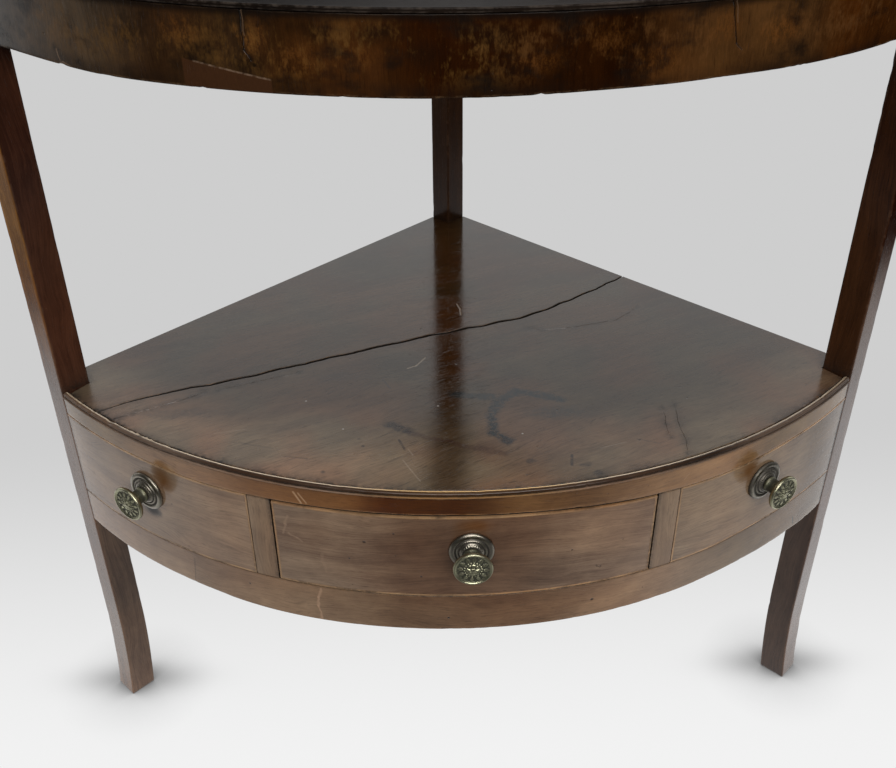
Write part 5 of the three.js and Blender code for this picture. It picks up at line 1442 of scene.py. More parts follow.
for name, side in (("left", -1), ("right", 1)):
    x0 = side * (STILE_OUT + GAP / 2)
    leg_e = legL if side < 0 else legR
    # sweep from the stile to the leg
    m = rabbet_bar(DUMMY_T, MID0, MID1, at_x(x0), leg_e, True, False)

    def dg(V, side=side):
        z = level(V)[:, 2]
        e = np.exp(-(z - MID0) / 0.5) + np.exp(-(MID1 - z) / 0.5)
        nz = 0.5 + 0.5 * np.tanh(3 * fbm(V / 18.0, 95 + side, 2))
        return np.clip(e * 0.6 * nz + near_leg_grime(V, 0.6), 0, 2.5)
    dm = (lambda V: blend(np.zeros(len(V)), (1.8, 2.3, 2.8), (1, 1, 1))) if side < 0 else (lambda V: blend(smooth01((arc(V) - 245) / 45.0), (1.75, 2.25, 2.6), (0.85, 0.90, 0.75)))
    put(f"dummy_drawer_{name}", m, MATS["dummy_" + name], gc=shift(along_bow, 0, 120 * side, 0), dirt_and_shade=dg, mul=dm,
        tone=lambda V, side=side: fbm(V / 36.0, 97 + side, 3) * 0.2)
    fb = frame_bar(MID0, MID1, True, False, at_x(x0), leg_e)
    put(f"stringing_dummy_{name}", fb, MATS["boxwood"], gc=along_bow, slot="boxwood", crease=35,
        dirt_and_shade=lambda V, side=side: np.clip((0.34 if side < 0 else 0.20) + 0.8 * fbm(V / 14.0, 99, 3), 0, 0.85))

# ------------------------------------------------------------------ shelf: two boards, split right across
CRACK = [(-257.5, -343.4, 0.35), (-249.0, -337.9, 0.45), (-240.2, -332.2, 0.8), (-226.0, -325.6, 1.3), (-211.5, -319.8, 1.4), (-196.0, -313.8, 1.8),
         (-183.0, -311.1, 1.7), (-168.7, -304.6, 2.0), (-150.0, -298.4, 1.8), (-133.0, -290.1, 2.1), (-115.0, -283.9, 1.9), (-97.0, -275.2, 2.2),
         (-80.0, -269.6, 2.0), (-60.0, -260.4, 2.3), (-41.0, -253.9, 2.1), (-20.5, -244.6, 2.4), (-6.0, -241.1, 1.9), (10.0, -234.0, 2.3),
         (22.0, -231.8, 1.8), (36.0, -225.2, 2.2), (53.1, -220.4, 1.7), (64.0, -213.0, 2.1), (77.0, -206.3, 1.6), (88.0, -196.5, 1.9),
         (97.6, -191.2, 1.5), (110.0, -180.4, 1.6), (122.0, -172.6, 1.3), (133.0, -162.0, 1.4), (141.5, -156.4, 1.2), (150.6, -147.6, 1.1)]
SHELF_R = R - 5.0


def crack_edge(sgn):
    c = np.array(CRACK)
    xy = refine(c[:, :2], 1.6, closed=False)
    # width along the line
    d = np.concatenate([[0], np.cumsum(np.linalg.norm(np.diff(xy, axis=0), axis=1))])
    dc = np.concatenate([[0], np.cumsum(np.linalg.norm(np.diff(c[:, :2], axis=0), axis=1))])
    w = np.interp(d, dc, c[:, 2])
    t = np.gradient(xy, axis=0)
    t /= np.linalg.norm(t, axis=1, keepdims=True)
    n = np.stack([-t[:, 1], t[:, 0]], -1)
    common = noise1(d / 7.0, 301, 3) * 0.28
    own = noise1(d / 5.0 + (50 if sgn > 0 else 0), 303 + sgn, 3) * 0.16
    return xy + n * (sgn * (w * 0.5 * 1.12) + common + sgn * np.abs(own))[:, None], d


phi_leg = at_leg(LEG + GAP, 1)(SHELF_R)


def shelf_outline():
    o = [(0.0, -2 * (POST + GAP) * S)]
    o += [side_pt(POST + GAP, 0, -1), side_pt(SIDE - LEG - GAP, 0, -1), side_pt(SIDE - LEG - GAP, LEG + GAP, -1)]
    for f in np.linspace(-phi_leg, phi_leg, 230)[1:-1]:
        o.append((SHELF_R * math.sin(f), -BC - SHELF_R * math.cos(f)))
    o += [side_pt(SIDE - LEG - GAP, LEG + GAP, 1), side_pt(SIDE - LEG - GAP, 0, 1), side_pt(POST + GAP, 0, 1)]
    return np.array(o)


def clip_shelf(rear):
    """the outline's part behind or before the split"""
    o = shelf_outline()
    edge, _ = crack_edge(1 if rear else -1)
    # keep only edge points inside the outline
    inn = inside_poly(edge, o)
    edge = edge[inn]
    first, last = edge[0], edge[-1]
    # nearest places on the outline for both ends of the split
    def hit(p, q):
        # the line from p (inside) through q (further out) meets the outline
        best = None
        d = q - p
        for i in range(len(o)):
            a, b = o[i], o[(i + 1) % len(o)]
            e = b - a
            det = d[0] * -e[1] + d[1] * e[0]
            if abs(det) < 1e-9:
                continue
            u = ((a[0] - p[0]) * -e[1] + (a[1] - p[1]) * e[0]) / det
            v = (d[0] * (a[1] - p[1]) - d[1] * (a[0] - p[0])) / det
            if u > 0 and -1e-6 <= v <= 1 + 1e-6 and (best is None or u < best[0]):
                best = (u, i, a + e * v)
        return best
    h0 = hit(first, first + (first - edge[4]))
    h1 = hit(last, last + (last - edge[-5]))
    loop = [h0[2]] + [p for p in edge] + [h1[2]]
    n = len(o)
    # walk the outline from the right end of the split to the left end
    if rear:
        idx, out = h1[1] + 1, []
        while True:
            out.append(o[idx % n])
            if idx % n == h0[1] % n:
                break
            idx += 1
        # outline order is back corner, left side, bow, right side: the rear part runs right end -> back corner -> left end
        loop = loop + out
    else:
        idx, out = h1[1], []
        while True:
            out.append(o[idx % n])
            if idx % n == (h0[1] + 1) % n:
                break
            idx -= 1
        loop = loop + out
    lp = np.array(loop)
    keep = [0]
    for i in range(1, len(lp)):
        if np.linalg.norm(lp[i] - lp[keep[-1]]) > 0.35:
            keep.append(i)
    lp = lp[keep]
    if np.linalg.norm(lp[0] - lp[-1]) < 0.35:
        lp = lp[:-1]
    return refine(lp, 4.0)


# shallow checks (short splits) cut as fine grooves: centre line, half width, depth
CHECKS = [
    ([(-246.8, -354.6), (-239.6, -350.0), (-223.9, -341.9), (-211.0, -336.1), (-197.0, -328.0), (-185.3, -320.6)], 0.42, 0.7),
    ([(56.0, -236.5), (69.8, -240.0), (95.9, -236.2), (130.5, -226.2), (152.3, -205.2)], 0.30, 0.40),
    ([(152.0, -349.5), (150.0, -370.0), (151.0, -392.0), (148.5, -409.0)], 0.28, 0.35),
    ([(143.0, -352.0), (141.0, -372.0), (140.5, -389.0)], 0.24, 0.28),
    ([(-176.0, -318.5), (-150.0, -308.0), (-120.0, -296.0)], 0.30, 0.35),
]


def check_lines(outline):
    lines, info = [], []
    for k, (pts, hw, dep) in enumerate(CHECKS):
        xy = refine(pts, 2.2, closed=False)
        d = np.linspace(0, 1, len(xy))
        t = np.gradient(xy, axis=0)
        t /= np.linalg.norm(t, axis=1, keepdims=True)
        nn = np.stack([-t[:, 1], t[:, 0]], -1)
        xy = xy + nn * (noise1(d * len(xy) / 3.0, 400 + k, 3) * 0.6)[:, None]
        env = np.sin(np.pi * np.clip(d, 0.02, 0.98)) ** 0.5
        env = env * (0.75 + 0.25 * noise1(d * len(xy) / 2.0, 410 + k, 2))
        mid = xy[len(xy) // 2]
        if not inside_poly(mid[None], outline)[0]:
            continue
        for off in (-1, 0, 1):
            lines.append(xy + nn * (off * hw * env)[:, None])
        info.append((xy, hw, dep, env))
    return lines, info


def shelf_part(rear):
    lp = clip_shelf(rear)
    lines, info = check_lines(lp)

    def top(V2):
        h = np.zeros(len(V2))
        for xy, hw, dep, env in info:
            d = np.sqrt(((V2[:, None, :] - xy[None]) ** 2).sum(-1))
            j = d.argmin(1)
            near = d.min(1)
            h = np.where(near < 0.12, h - dep * env[j], h)
        return h
    return slab([lp], SHELF_TOP - SHELF_T, SHELF_TOP, 5.0, bev=0.35, seg=2, lines=lines, top_fn=top, seed=11 if rear else 12, support=1.2, wall=3.5)


def shelf_grime(V):
    up = V[:, 2] > SHELF_TOP - 0.75
    q1, q2 = tn(V, -1), tn(V, 1)
    g = np.zeros(len(V))
    # round the legs and the back leg
    for q in (q1, q2):
        d = np.hypot(np.clip(SIDE - LEG - q[:, 0], 0, None), np.clip(q[:, 1] - LEG, 0, None))
        g += np.exp(-d / 3.0) * 0.85
    dp = np.hypot(np.clip(q1[:, 0] - POST, 0, None), np.clip(q1[:, 1] - POST, 0, None))
    g += np.exp(-dp / 2.5) * 0.6
    # along the bead
    r = np.hypot(V[:, 0], V[:, 1] + BC)
    phi = np.degrees(np.arctan2(V[:, 0], -(V[:, 1] + BC)))
    nz = 0.5 + 0.5 * np.tanh(2.5 * fbm(V / 16.0, 501, 3))
    g += np.exp(-np.clip(SHELF_R - r, 0, None) / (1.2 + 1.8 * nz)) * (0.55 + 0.4 * nz) * (1 + 0.5 * (phi < -24))
    # along the split
    c = np.array(CRACK)[:, :2]
    xy = refine(c, 4.0, closed=False)
    d = np.full(len(V), 1e9)
    for i in range(0, len(xy), 40):
        d = np.minimum(d, np.sqrt(((V[:, None, :2] - xy[None, i:i + 40]) ** 2).sum(-1)).min(1))
    nz2 = 0.5 + 0.5 * np.tanh(2.5 * fbm(V / 22.0, 502, 3))
    g += np.exp(-np.clip(d - 0.8, 0, None) / (0.8 + 2.5 * nz2)) * 0.55
    for pts, hw, dep in CHECKS:
        xy = refine(pts, 2.0, closed=False)
        dd = np.sqrt(((V[:, None, :2] - xy[None]) ** 2).sum(-1)).min(1)
        g += np.exp(-dd / 0.8) * 0.8
    g = np.where(up, g, np.clip(g, 0, 0.5) + 0.25)
    # the walls of the split are old and black
    wall = (V[:, 2] < SHELF_TOP - 0.3) & (d < 4.0)
    return np.where(wall, 3.0, np.clip(g, 0, 1))


def shelf_tone(V):
    t = fbm(V / 70.0, 511, 3) * 0.16 + fbm(V * np.array([0.4, 1, 1]) / 22.0, 512, 3) * 0.08
    y = -V[:, 1]
    # lighter towards the front: painted light
    t += smooth01((y - 250) / 190.0) * 0.10 - 0.02
    return t


def ahead_of_post(V):
    """1 along the strip straight ahead of the back leg, painted darker and redder: a painted reflection of the back leg
    carried forward, with a darker stain in the finish
    """
    c = -2.4 + 0.0265 * (V[:, 1] + 69.0) + 1.6 * noise1(V[:, 1] / 9.0, 515, 2)
    w = np.interp(-V[:, 1], (60, 330, 440), (15.5, 13.0, 15.0))
    return np.exp(-(np.abs(V[:, 0] - c) / w) ** np.interp(-V[:, 1], (300, 420), (5.0, 3.0)))


# how strongly the shelf is painted as lit: the front zone and the rim, more on the left, less in the strip ahead of the
# back leg
def shelf_lit(V):
    rim = SHELF_R - np.hypot(V[:, 0], V[:, 1] + BC)
    a = smooth01((-V[:, 1] - 322) / 105.0)
    b = (1 - smooth01((rim - 8) / 60.0)) * 0.75
    k = np.maximum(a, b) + fbm(V * np.array([0.5, 1, 1]) / 24.0, 514, 3) * 0.14 * np.clip(a + b, 0, 1)
    k = k * (0.62 + 0.56 * smooth01((60 - V[:, 0]) / 160.0))
    return np.clip(k, 0, 1.2) * (1 - 0.74 * ahead_of_post(V))


# the shelf's colour painted for the light on it: dark at the rear under the basin tier, two to three times lighter
# where lit towards the front
def shelf_mul(V):
    s_ = ahead_of_post(V)[:, None]
    back = np.array((0.66, 0.74, 0.80))[None] * (1 - s_) + np.array((0.46, 0.36, 0.24))[None] * s_
    k = shelf_lit(V)[:, None]
    c = back * (1 - k) + np.array((2.25, 2.60, 3.10))[None] * k
    # clouds: greyer and redder patches in the back part
    k = smooth01(0.5 + 0.9 * fbm(V / 42.0, 516, 2))[:, None]
    return c * (np.array((1.10, 0.96, 0.92))[None] * k + np.array((0.90, 1.03, 1.10))[None] * (1 - k))


for nm, rear in (("shelf_board_rear", True), ("shelf_board_front", False)):
    m = shelf_part(rear)
    ob = put(nm, m, MATS["shelf"], gc=shift(split_grain, 0, 0 if rear else 60, 0), dirt_and_shade=shelf_grime, tone=shelf_tone, mul=shelf_mul)
    vec_attr(ob.data, "pp", m.verts() / 1000.0)
    flt_attr(ob.data, "lit", shelf_lit(m.verts()))


# bead round the front of the shelf
def bead_section():
    T = SHELF_TOP
    pts = [(-4.6, -2.8), (0.45, -2.8), (0.60, -2.62), (0.55, -2.42), (0.10, -2.28), (-0.75, -2.22), (-1.0, -2.05), (-0.80, -1.90),
           (-0.55, -1.7), (-0.50, -1.2), (-0.55, -0.6)]
    for k in range(1, 9):
        a = k / 9 * math.pi
        pts.append((-2.45 + 1.90 * math.cos(a), -0.45 + 0.98 * math.sin(a)))
    pts += [(-4.15, -0.55), (-4.30, -0.62), (-4.45, -0.30), (-4.6, -0.12)]
    # the back of the round's top is marked fully worn, so the pale arris colour paints a highlight line there
    wear_and_highlight = [0, 0, 0, 0, 0, 0, 0, 0, 0, 0, 0] + [0, 0, 0, 0.15, 0.75, 1.0, 1.0, 0.6] + [0.1, 0, 0, 0]
    return np.array([(R + r, T + z) for r, z in pts]), np.array(wear_and_highlight, float)


sec, wr = bead_section()
m = bow_bar(sec, wr, legL, legR, step=1.6, bev=0.18, seed=64)
V = m.verts()
r = np.hypot(V[:, 0], V[:, 1] + BC)
phi = np.arctan2(V[:, 0], -(V[:, 1] + BC))
pd = np.degrees(phi)
topness = smooth01((V[:, 2] - (SHELF_TOP - 1.2)) / 1.0)
# knocks along the bead, more of them near the left leg
dens = 0.35 + 0.9 * (pd < -27) + 0.25 * (pd > 25)
am = np.clip(fbm(np.stack([R * phi / 5.5, r * 0, V[:, 2] * 0], -1), 601, 3) - 0.62, 0, 1) * dens
V[:, 2] -= am * topness * 1.5
V[:, 2] += noise1(R * phi / 11.0, 605, 2) * 0.07 * topness
rr = r - am * topness * 0.3
V[:, :2] = bow(phi, rr)
# beads of old wax and dirt caught beside it
lump = np.clip(fbm(np.stack([R * phi / 2.4, r / 2.4, V[:, 2] / 2.4], -1), 609, 2) - 0.15, 0, 1) * ((pd < -30.5) & (pd > -38.6))
inner = np.exp(-((r - (R - 4.2)) / 1.1) ** 2) * (V[:, 2] > SHELF_TOP - 0.9)
V[:, 2] += np.minimum(lump * inner * 2.0, 0.9)
mb = Mesh(); mb.add(V, m.f, m.wear_and_highlight())


def bead_dirt_and_shade(V):
    r = np.hypot(V[:, 0], V[:, 1] + BC) - R
    z = V[:, 2] - SHELF_TOP
    pd = np.degrees(np.arctan2(V[:, 0], -(V[:, 1] + BC)))
    g = np.exp(-((r + 4.50) / 0.24) ** 2) * 0.95
    # the quirk under the round and the round's front face are painted dark: painted shade below the highlight
    g += np.exp(-(((r + 0.9) / 0.7) ** 2 + ((z + 2.1) / 0.45) ** 2)) * 0.9
    front = (r > -1.1) & (z < -0.5) & (z > -2.1)
    g += front * 0.40 * (1 - 0.8 * smooth01((np.abs(arc(V)) - 165) / 60.0))
    g += (pd < -30.5) * (pd > -38.6) * np.clip(fbm(V / 3.0, 611, 2), 0, 1) * (r < -2.0) * 1.2
    return np.clip(g, 0, 1)


def bead_tone_and_highlight(V):
    r = np.hypot(V[:, 0], V[:, 1] + BC) - R
    z = V[:, 2] - SHELF_TOP
    # the fillet under the bead is painted lighter: a painted highlight where its top catches the light
    fillet = (r > -0.9) & (z < -2.15)
    ends = smooth01((np.abs(arc(V)) - 165) / 60.0)     # the contrast fades toward both legs
    return np.where(fillet, 0.42 - 0.10 * ends, -0.42 + 0.55 * ends) + fbm(V / 20.0, 613, 3) * np.where(fillet, 0.25, 0.04)


# the bead's colour scaled along it: golden in the middle, the painted highlight dimmed towards the right end and
# towards the left leg
put("shelf_edge_bead", mb, MATS["bead"], gc=along_bow, dirt_and_shade=bead_dirt_and_shade, crease=55, tone=bead_tone_and_highlight, slot="mahogany",
    mul=lambda V: blend(smooth01((np.abs(arc(V)) - 30) / 60.0), (1.15, 0.90, 0.50), (0.90, 0.88, 0.86)) *
    (1 - 0.40 * smooth01((arc(V) - 120) / 60.0) - 0.30 * smooth01((-arc(V) - 175) / 60.0))[:, None])

# ------------------------------------------------------------------ drawer
D_NODES = "drawer"
dL, dR = at_x(-DRAWER_HALF), at_x(DRAWER_HALF)
m = rabbet_bar(DFT, DZ0, DZ1, dL, dR, True, True)


def drawer_dirt_and_gap_shade(V):
    z = level(V)[:, 2]
    e = np.exp(-(z - DZ0) / 0.6) * 0.6 + np.exp(-(DZ1 - z) / 0.6) * 0.3
    nz = 0.5 + 0.5 * np.tanh(3 * fbm(V / 15.0, 121, 2))
    # the drawer's top edge and ends, facing into the gap round it, are painted near-black: painted shade in the gap
    top = (z > DZ1 - 0.5) | (np.abs(V[:, 0]) > DRAWER_HALF - 0.5)
    r = np.hypot(V[:, 0], V[:, 1] + BC)
    edge = 0.30 + 2.7 * np.exp(-np.clip(r.max() - r - 1.0, 0, None) / 1.5)
    return np.where(top, edge, np.clip(e * nz, 0, 1))


def drawer_tone(V):
    x = V[:, 0]
    t = fbm(V * np.array([0.5, 1, 1.4]) / 34.0, 122, 3) * 0.2
    t += 0.10 * smooth01((np.abs(x) - 40) / 90.0) - 0.07
    t += -0.10 * np.exp(-((V[:, 2] - 288) / 9.0) ** 2) * (x < 20)
    return t


front_ob = put("drawer_front", m, MATS["drawer"], body="drawer", gc=shift(along_bow, 30, 60, 0), dirt_and_shade=drawer_dirt_and_gap_shade, tone=drawer_tone,
               mul=sides_pale((1.05, 1.22, 1.40), (1.82, 2.45, 3.05), 32, 78))
fb = frame_bar(DZ0, DZ1, True, True, dL, dR)
put("stringing_drawer", fb, MATS["boxwood"], body="drawer", gc=along_bow, slot="boxwood", crease=35,
    dirt_and_shade=lambda V: np.clip(0.10 + 0.8 * fbm(V / 16.0, 124, 3) + (level(V)[:, 2] < DZ0 + 5) *
                            (0.40 - (0.80 - 1.4 * fbm(V / 2.6, 125, 2)) * np.exp(-((V[:, 0] - 30) / 30.0) ** 2)), 0, 0.85))

for name, side in (("left", -1), ("right", 1)):
    m = cad_copy(f"drawer_side_{name}", 0.5)
    put(f"drawer_side_{name}", m, MATS["oak"], body="drawer", slot="oak", gc=shift(along_y, 0, 20 * side, 0), crease=30,
        dirt_and_shade=lambda V: np.clip(0.12 + 0.3 * fbm(V / 30.0, 131, 3), 0, 1))
m = cad_copy("drawer_back", 0.6)
put("drawer_back", m, MATS["oak"], body="drawer", slot="oak", gc=lambda V: np.stack([V[:, 0], V[:, 2] + 77.0, V[:, 1]], -1), crease=30)
m = cad_copy("drawer_bottom", 0.3)
put("drawer_bottom", m, MATS["oak"], body="drawer", slot="oak", gc=along_x, crease=30,
    dirt_and_shade=lambda V: np.clip(0.15 + 0.35 * fbm(V / 40.0, 133, 3), 0, 1))

# ------------------------------------------------------------------ runners, kickers, stops, glue blocks
for name, side in (("left", -1), ("right", 1)):
    for node, fn in ((f"drawer_runner_{name}", along_y), (f"drawer_kicker_{name}", along_y), (f"drawer_stop_{name}", along_x),
                     (f"glue_block_back_{name}", along_side(side)), (f"glue_block_front_{name}", along_side(side)), (f"frieze_block_{name}", along_side(side))):
        m = cad_copy(node, 0.8)
        put(node, m, MATS["pine"], slot="pine", gc=shift(fn, 30 * side, 13 * len(node), 0), crease=30,
            dirt_and_shade=lambda V: np.clip(0.1 + 0.4 * fbm(V / 25.0, 141, 3), 0, 1))
    for end in ("back", "front"):
        node = f"splash_dowel_{name}_{end}"
        m = cad_copy(node, 0.4)
        put(node, m, MATS["pine"], slot="pine", gc=lambda V: V[:, [2, 0, 1]], crease=40)

# ------------------------------------------------------------------ basin tier
sec, wr = round_section([(R - 16, FRIEZE_BOTTOM, 0.6), (R, FRIEZE_BOTTOM, 0.9), (R, LEG_TOP, 0.2), (R - 6, LEG_TOP, 0.0), (R - 6, FRIEZE_SIDE_TOP, 0.0), (R - 16, FRIEZE_SIDE_TOP, 0.4)], step=5.0)
m = bow_bar(sec, wr, legL, legR, step=2.2, nick=0.5, seed=66)
V = m.verts()
phi = np.arctan2(V[:, 0], -(V[:, 1] + BC))
r = np.hypot(V[:, 0], V[:, 1] + BC)
low = np.exp(-np.clip(V[:, 2] - FRIEZE_BOTTOM, 0, None) / 1.2)
chips = np.zeros(len(V))
for a_deg, wd, dp in ((5.2, 1.6, 0.9), (6.4, 1.0, 0.5), (-33.5, 2.6, 1.2), (26.6, 1.4, 0.7), (-20.0, 1.2, 0.5), (14.0, 1.0, 0.4), (-9.0, 1.3, 0.4)):
    chips += dp * np.exp(-((R * (phi - math.radians(a_deg))) / wd) ** 2)
V[:, 2] += chips * low * (r > R - 3) * 1.0
m2 = Mesh(); m2.add(V, m.f, m.wear_and_highlight())


# the frieze's colour scaled along the bow: lighter and greyer at the left end, a painted reflection in the polish;
# darker and lighter stretches along the rest, painted sheen together with the finish's own tone
def frieze_mul(V):
    x = arc(V) + 8.0 * fbm(V / 30.0, 913, 2)
    c = blend(smooth01((x + 215) / 60.0), (1.05, 1.50, 2.30), (0.62, 0.62, 0.62))
    for x0, w, to in ((-112, 30, (0.95, 0.72, 0.45)), (-45, 30, (0.42, 0.25, 0.10)), (72, 40, (1.30, 1.15, 0.85)), (185, 40, (1.08, 0.66, 0.28))):
        k = smooth01((x - x0) / w)[:, None]
        c = c * (1 - k) + np.array(to)[None] * k
    return c


put("frieze_front", m2, MATS["frieze"], gc=up_bow, slot="mahogany_dark", mul=frieze_mul, tone=lambda V: fbm(V / 38.0, 151, 3) * 0.2,
    dirt_and_shade=lambda V: np.clip(near_leg_grime(V, 0.4), 0, 1))


def top_outline(r, n_in, t_out):
    ph = at_leg(n_in, 1)(r)
    o = [(0.0, 0.0), side_pt(t_out, 0, -1), side_pt(t_out, n_in, -1)]
    for f in np.linspace(-ph, ph, 200)[1:-1]:
        o.append((r * math.sin(f), -BC - r * math.cos(f)))
    o += [side_pt(t_out, n_in, 1), side_pt(t_out, 0, 1)]
    return refine(np.array(o), 6.0)


def circle(x, y, r, n):
    a = np.linspace(0, 2 * np.pi, n, endpoint=False)
    return np.stack([x + r * np.cos(a), y + r * np.sin(a)], -1)


holes = [circle(0, BASIN_Y, BASIN_R, 160), circle(-CUP_X, CUP_Y, CUP_R, 64), circle(CUP_X, CUP_Y, CUP_R, 64)]


def stepped_board():
    """the top: a thin lip over the legs and the frieze, and the board itself inside them, as one body"""
    outer = top_outline(R, LEG, SIDE)
    r_in = R - 6 - GAP
    ph = at_leg(LEG + GAP, 1)(r_in)
    o = [(0.0, -2 * (POST + GAP) * S), side_pt(POST + GAP, 0, -1), side_pt(SIDE - LEG - GAP, 0, -1), side_pt(SIDE - LEG - GAP, LEG + GAP, -1)]
    for f in np.linspace(-ph, ph, 150)[1:-1]:
        o.append((r_in * math.sin(f), -BC - r_in * math.cos(f)))
    o += [side_pt(SIDE - LEG - GAP, LEG + GAP, 1), side_pt(SIDE - LEG - GAP, 0, 1), side_pt(POST + GAP, 0, 1)]
    inner = refine(np.array(o), 6.0)
    return outer, inner


outer, inner = stepped_board()
m = slab([outer] + holes, TOP_SURFACE - TOP_LIP, TOP_SURFACE, 8.0, bev=0.7, seg=3, seed=21, support=1.6, wall=2.0)
# the straight sides of both outlines coincide, so the lower one is drawn in by a hair
lower_out = offset_loop(inner if area2(inner) > 0 else inner[::-1], 0.35)
m_low = slab([lower_out] + holes, TOP_SURFACE - TOP_T, TOP_SURFACE - TOP_LIP, 14.0, bev=0.3, seg=1, seed=22, support=1.2, wall=4.0)
V = m.verts()


def top_grime(V):
    g = np.zeros(len(V))
    for cx, cy, rr in ((0, BASIN_Y, BASIN_R), (-CUP_X, CUP_Y, CUP_R), (CUP_X, CUP_Y, CUP_R)):
        d = np.hypot(V[:, 0] - cx, V[:, 1] - cy) - rr
        g += np.exp(-np.clip(d, 0, None) / 3.0) * 0.35
    for side in (-1, 1):
        q = tn(V, side)
        g += np.exp(-np.clip(q[:, 1] - SPLASH_T, 0, None) / 2.0) * 0.5 * (q[:, 0] < SPLASH_LEN)
    g += (V[:, 2] < TOP_SURFACE - TOP_LIP + 0.5) * 0.3
    return np.clip(g, 0, 1)


lip = put("top_board", m, MATS["top"], gc=shift(along_x, 0, 200, 0), slot="mahogany_dark", dirt_and_shade=top_grime, tone=lambda V: fbm(V / 60.0, 161, 3) * 0.25,
          mul=lambda V: np.repeat(1 - 0.5 * smooth01((np.hypot(V[:, 0], V[:, 1] + BC) - (R - 34)) / 18.0)[:, None], 3, 1))
under = put("top_board_under", m_low, MATS["top"], nodes=(), gc=shift(along_x, 0, 200, 0), slot="mahogany_dark", tone=lambda V: fbm(V / 60.0, 161, 3) * 0.25)


def splash_outline():
    base = TOP_SURFACE + GAP
    o = [(0.0, base), (SPLASH_LEN, base), (SPLASH_LEN, base + SPLASH_END - 5)]
    for i in range(1, 9):
        a = (i / 8) * math.pi / 2
        o.append((SPLASH_LEN - 5 + 5 * math.cos(a), base + SPLASH_END - 5 + 5 * math.sin(a)))
    t1, t2, h1, h2 = SPLASH_LEN - 40, 190.0, base + SPLASH_END, base + SPLASH_H
    for i in range(61):
        f = i / 60
        e = 2 * f * f if f < 0.5 else 1 - 2 * (1 - f) * (1 - f)
        o.append((t1 + (t2 - t1) * f, h1 + (h2 - h1) * e))
    o.append((0.0, h2))
    return refine(np.array(o), 5.0)


for name, side in (("left", -1), ("right", 1)):
    def mitre(V, side=side):
        V = V.copy()
        low = V[:, 2] - 0.02
        V[:, 0] = np.maximum(V[:, 0], low)
        return from_tzn(side)(V)
    m = slab([splash_outline()], 0.0, SPLASH_T, 8.0, bev=0.9, seg=3, mapping=mitre, seed=23 + side, support=1.6, wall=3.0)

    def sg(V, side=side):
        q = tn(V, side)
        z = V[:, 2]
        g = np.exp(-np.clip(z - TOP_SURFACE, 0, None) / 2.0) * 0.6 + np.exp(-np.clip(q[:, 0] - SPLASH_T, 0, None) / 2.0) * 0.4
        return np.clip(g, 0, 1)
    put(f"splashback_{name}", m, MATS["top"], gc=shift(along_side(side), 70 * side, 0, 0), slot="mahogany_dark", dirt_and_shade=sg,
        tone=lambda V: fbm(V / 50.0, 171, 3) * 0.25)

# ------------------------------------------------------------------ knobs
SEG = 144


def dense(prof, step):
    p = refine(prof, step, closed=False)
    return p


def knob_relief(V, rr, tt):
    """a stamped rosette: boss, petals, a beaded ring and an outer ring of leaves, inside a raised rim"""
    V = V.copy()
    d = V[:, 1]
    face = (d > 18.6) & (rr < 11.3)
    h = np.zeros(len(V))
    r = rr
    th = tt
    # dish inside the rim
    h += -0.75 * smooth01((11.2 - r) / 1.3) * smooth01(r / 9.5)
    # centre boss with eight petals
    boss = np.sqrt(np.clip(1 - (r / 1.7) ** 2, 0, 1)) * 0.75
    petals = smooth01((4.9 - r) / 0.8) * smooth01((r - 1.5) / 0.5) * np.abs(np.cos(4 * th)) ** 0.8 * 0.62
    vein = -0.22 * np.exp(-((np.mod(th + np.pi / 8, np.pi / 4) - np.pi / 8) * r / 0.28) ** 2) * smooth01((4.6 - r) / 0.8) * smooth01((r - 1.6) / 0.5)
    nb = 18
    cell = (np.mod(th, 2 * np.pi / nb) - np.pi / nb) * r
    beads = np.sqrt(np.clip(1 - (np.hypot(cell, r - 5.75) / 0.72) ** 2, 0, 1)) * 0.5
    # twelve leaves, alternately long and short
    nl = 12
    lc = np.mod(th + np.pi / nl, 2 * np.pi / nl) - np.pi / nl
    u = np.clip((r - 6.7) / 3.9, 0, 1)
    width = 1.62 * np.sin(np.pi * np.clip(u * 0.92 + 0.10, 0, 1)) ** 0.75 * (1 + 0.14 * np.cos(u * 22))
    x = np.abs(lc * r) / np.maximum(width, 0.05)
    leaf = np.clip(1 - x ** 2, 0, 1) ** 0.6 * (r > 6.6) * (r < 10.7) * 0.66
    leaf -= 0.20 * np.exp(-(lc * r / 0.20) ** 2) * (r > 6.9) * (r < 10.3)
    between = np.mod(th, 2 * np.pi / nl) - np.pi / nl
    tip = np.sqrt(np.clip(1 - (np.hypot(between * r, r - 9.9) / 0.75) ** 2, 0, 1)) * 0.45
    h += (boss + petals + vein + beads + np.maximum(leaf, tip))
    # a fine rope under the rim
    nr = 48
    rope = np.exp(-((r - 11.15) / 0.28) ** 2) * 0.16 * np.cos(nr * th + 6 * (r - 11))
    h += rope
    V[:, 1] = np.where(face, d + h, d)
    V[:, 1] = np.minimum(V[:, 1], 20.55)
    # milled edge on the disc's side
    side = (rr > 12.3) & (d > 16.5) & (d < 18.9)
    k = 1 + np.where(side, 0.004 * np.cos(60 * tt), 0)
    V[:, 0] *= k
    V[:, 2] *= k
    return V


def rose_relief(V, rr, tt):
    V = V.copy()
    # fine beading on the step and reeding on the collar
    a = np.exp(-((rr - 9.6) / 0.35) ** 2) * (V[:, 1] > 2.6) * 0.16 * np.cos(40 * tt)
    V[:, 1] += a
    b = (rr > 6.2) & (rr < 7.3) & (V[:, 1] > 3.6)
    k = 1 + np.where(b, 0.025 * np.cos(26 * tt), 0)
    V[:, 0] *= k
    V[:, 2] *= k
    return V


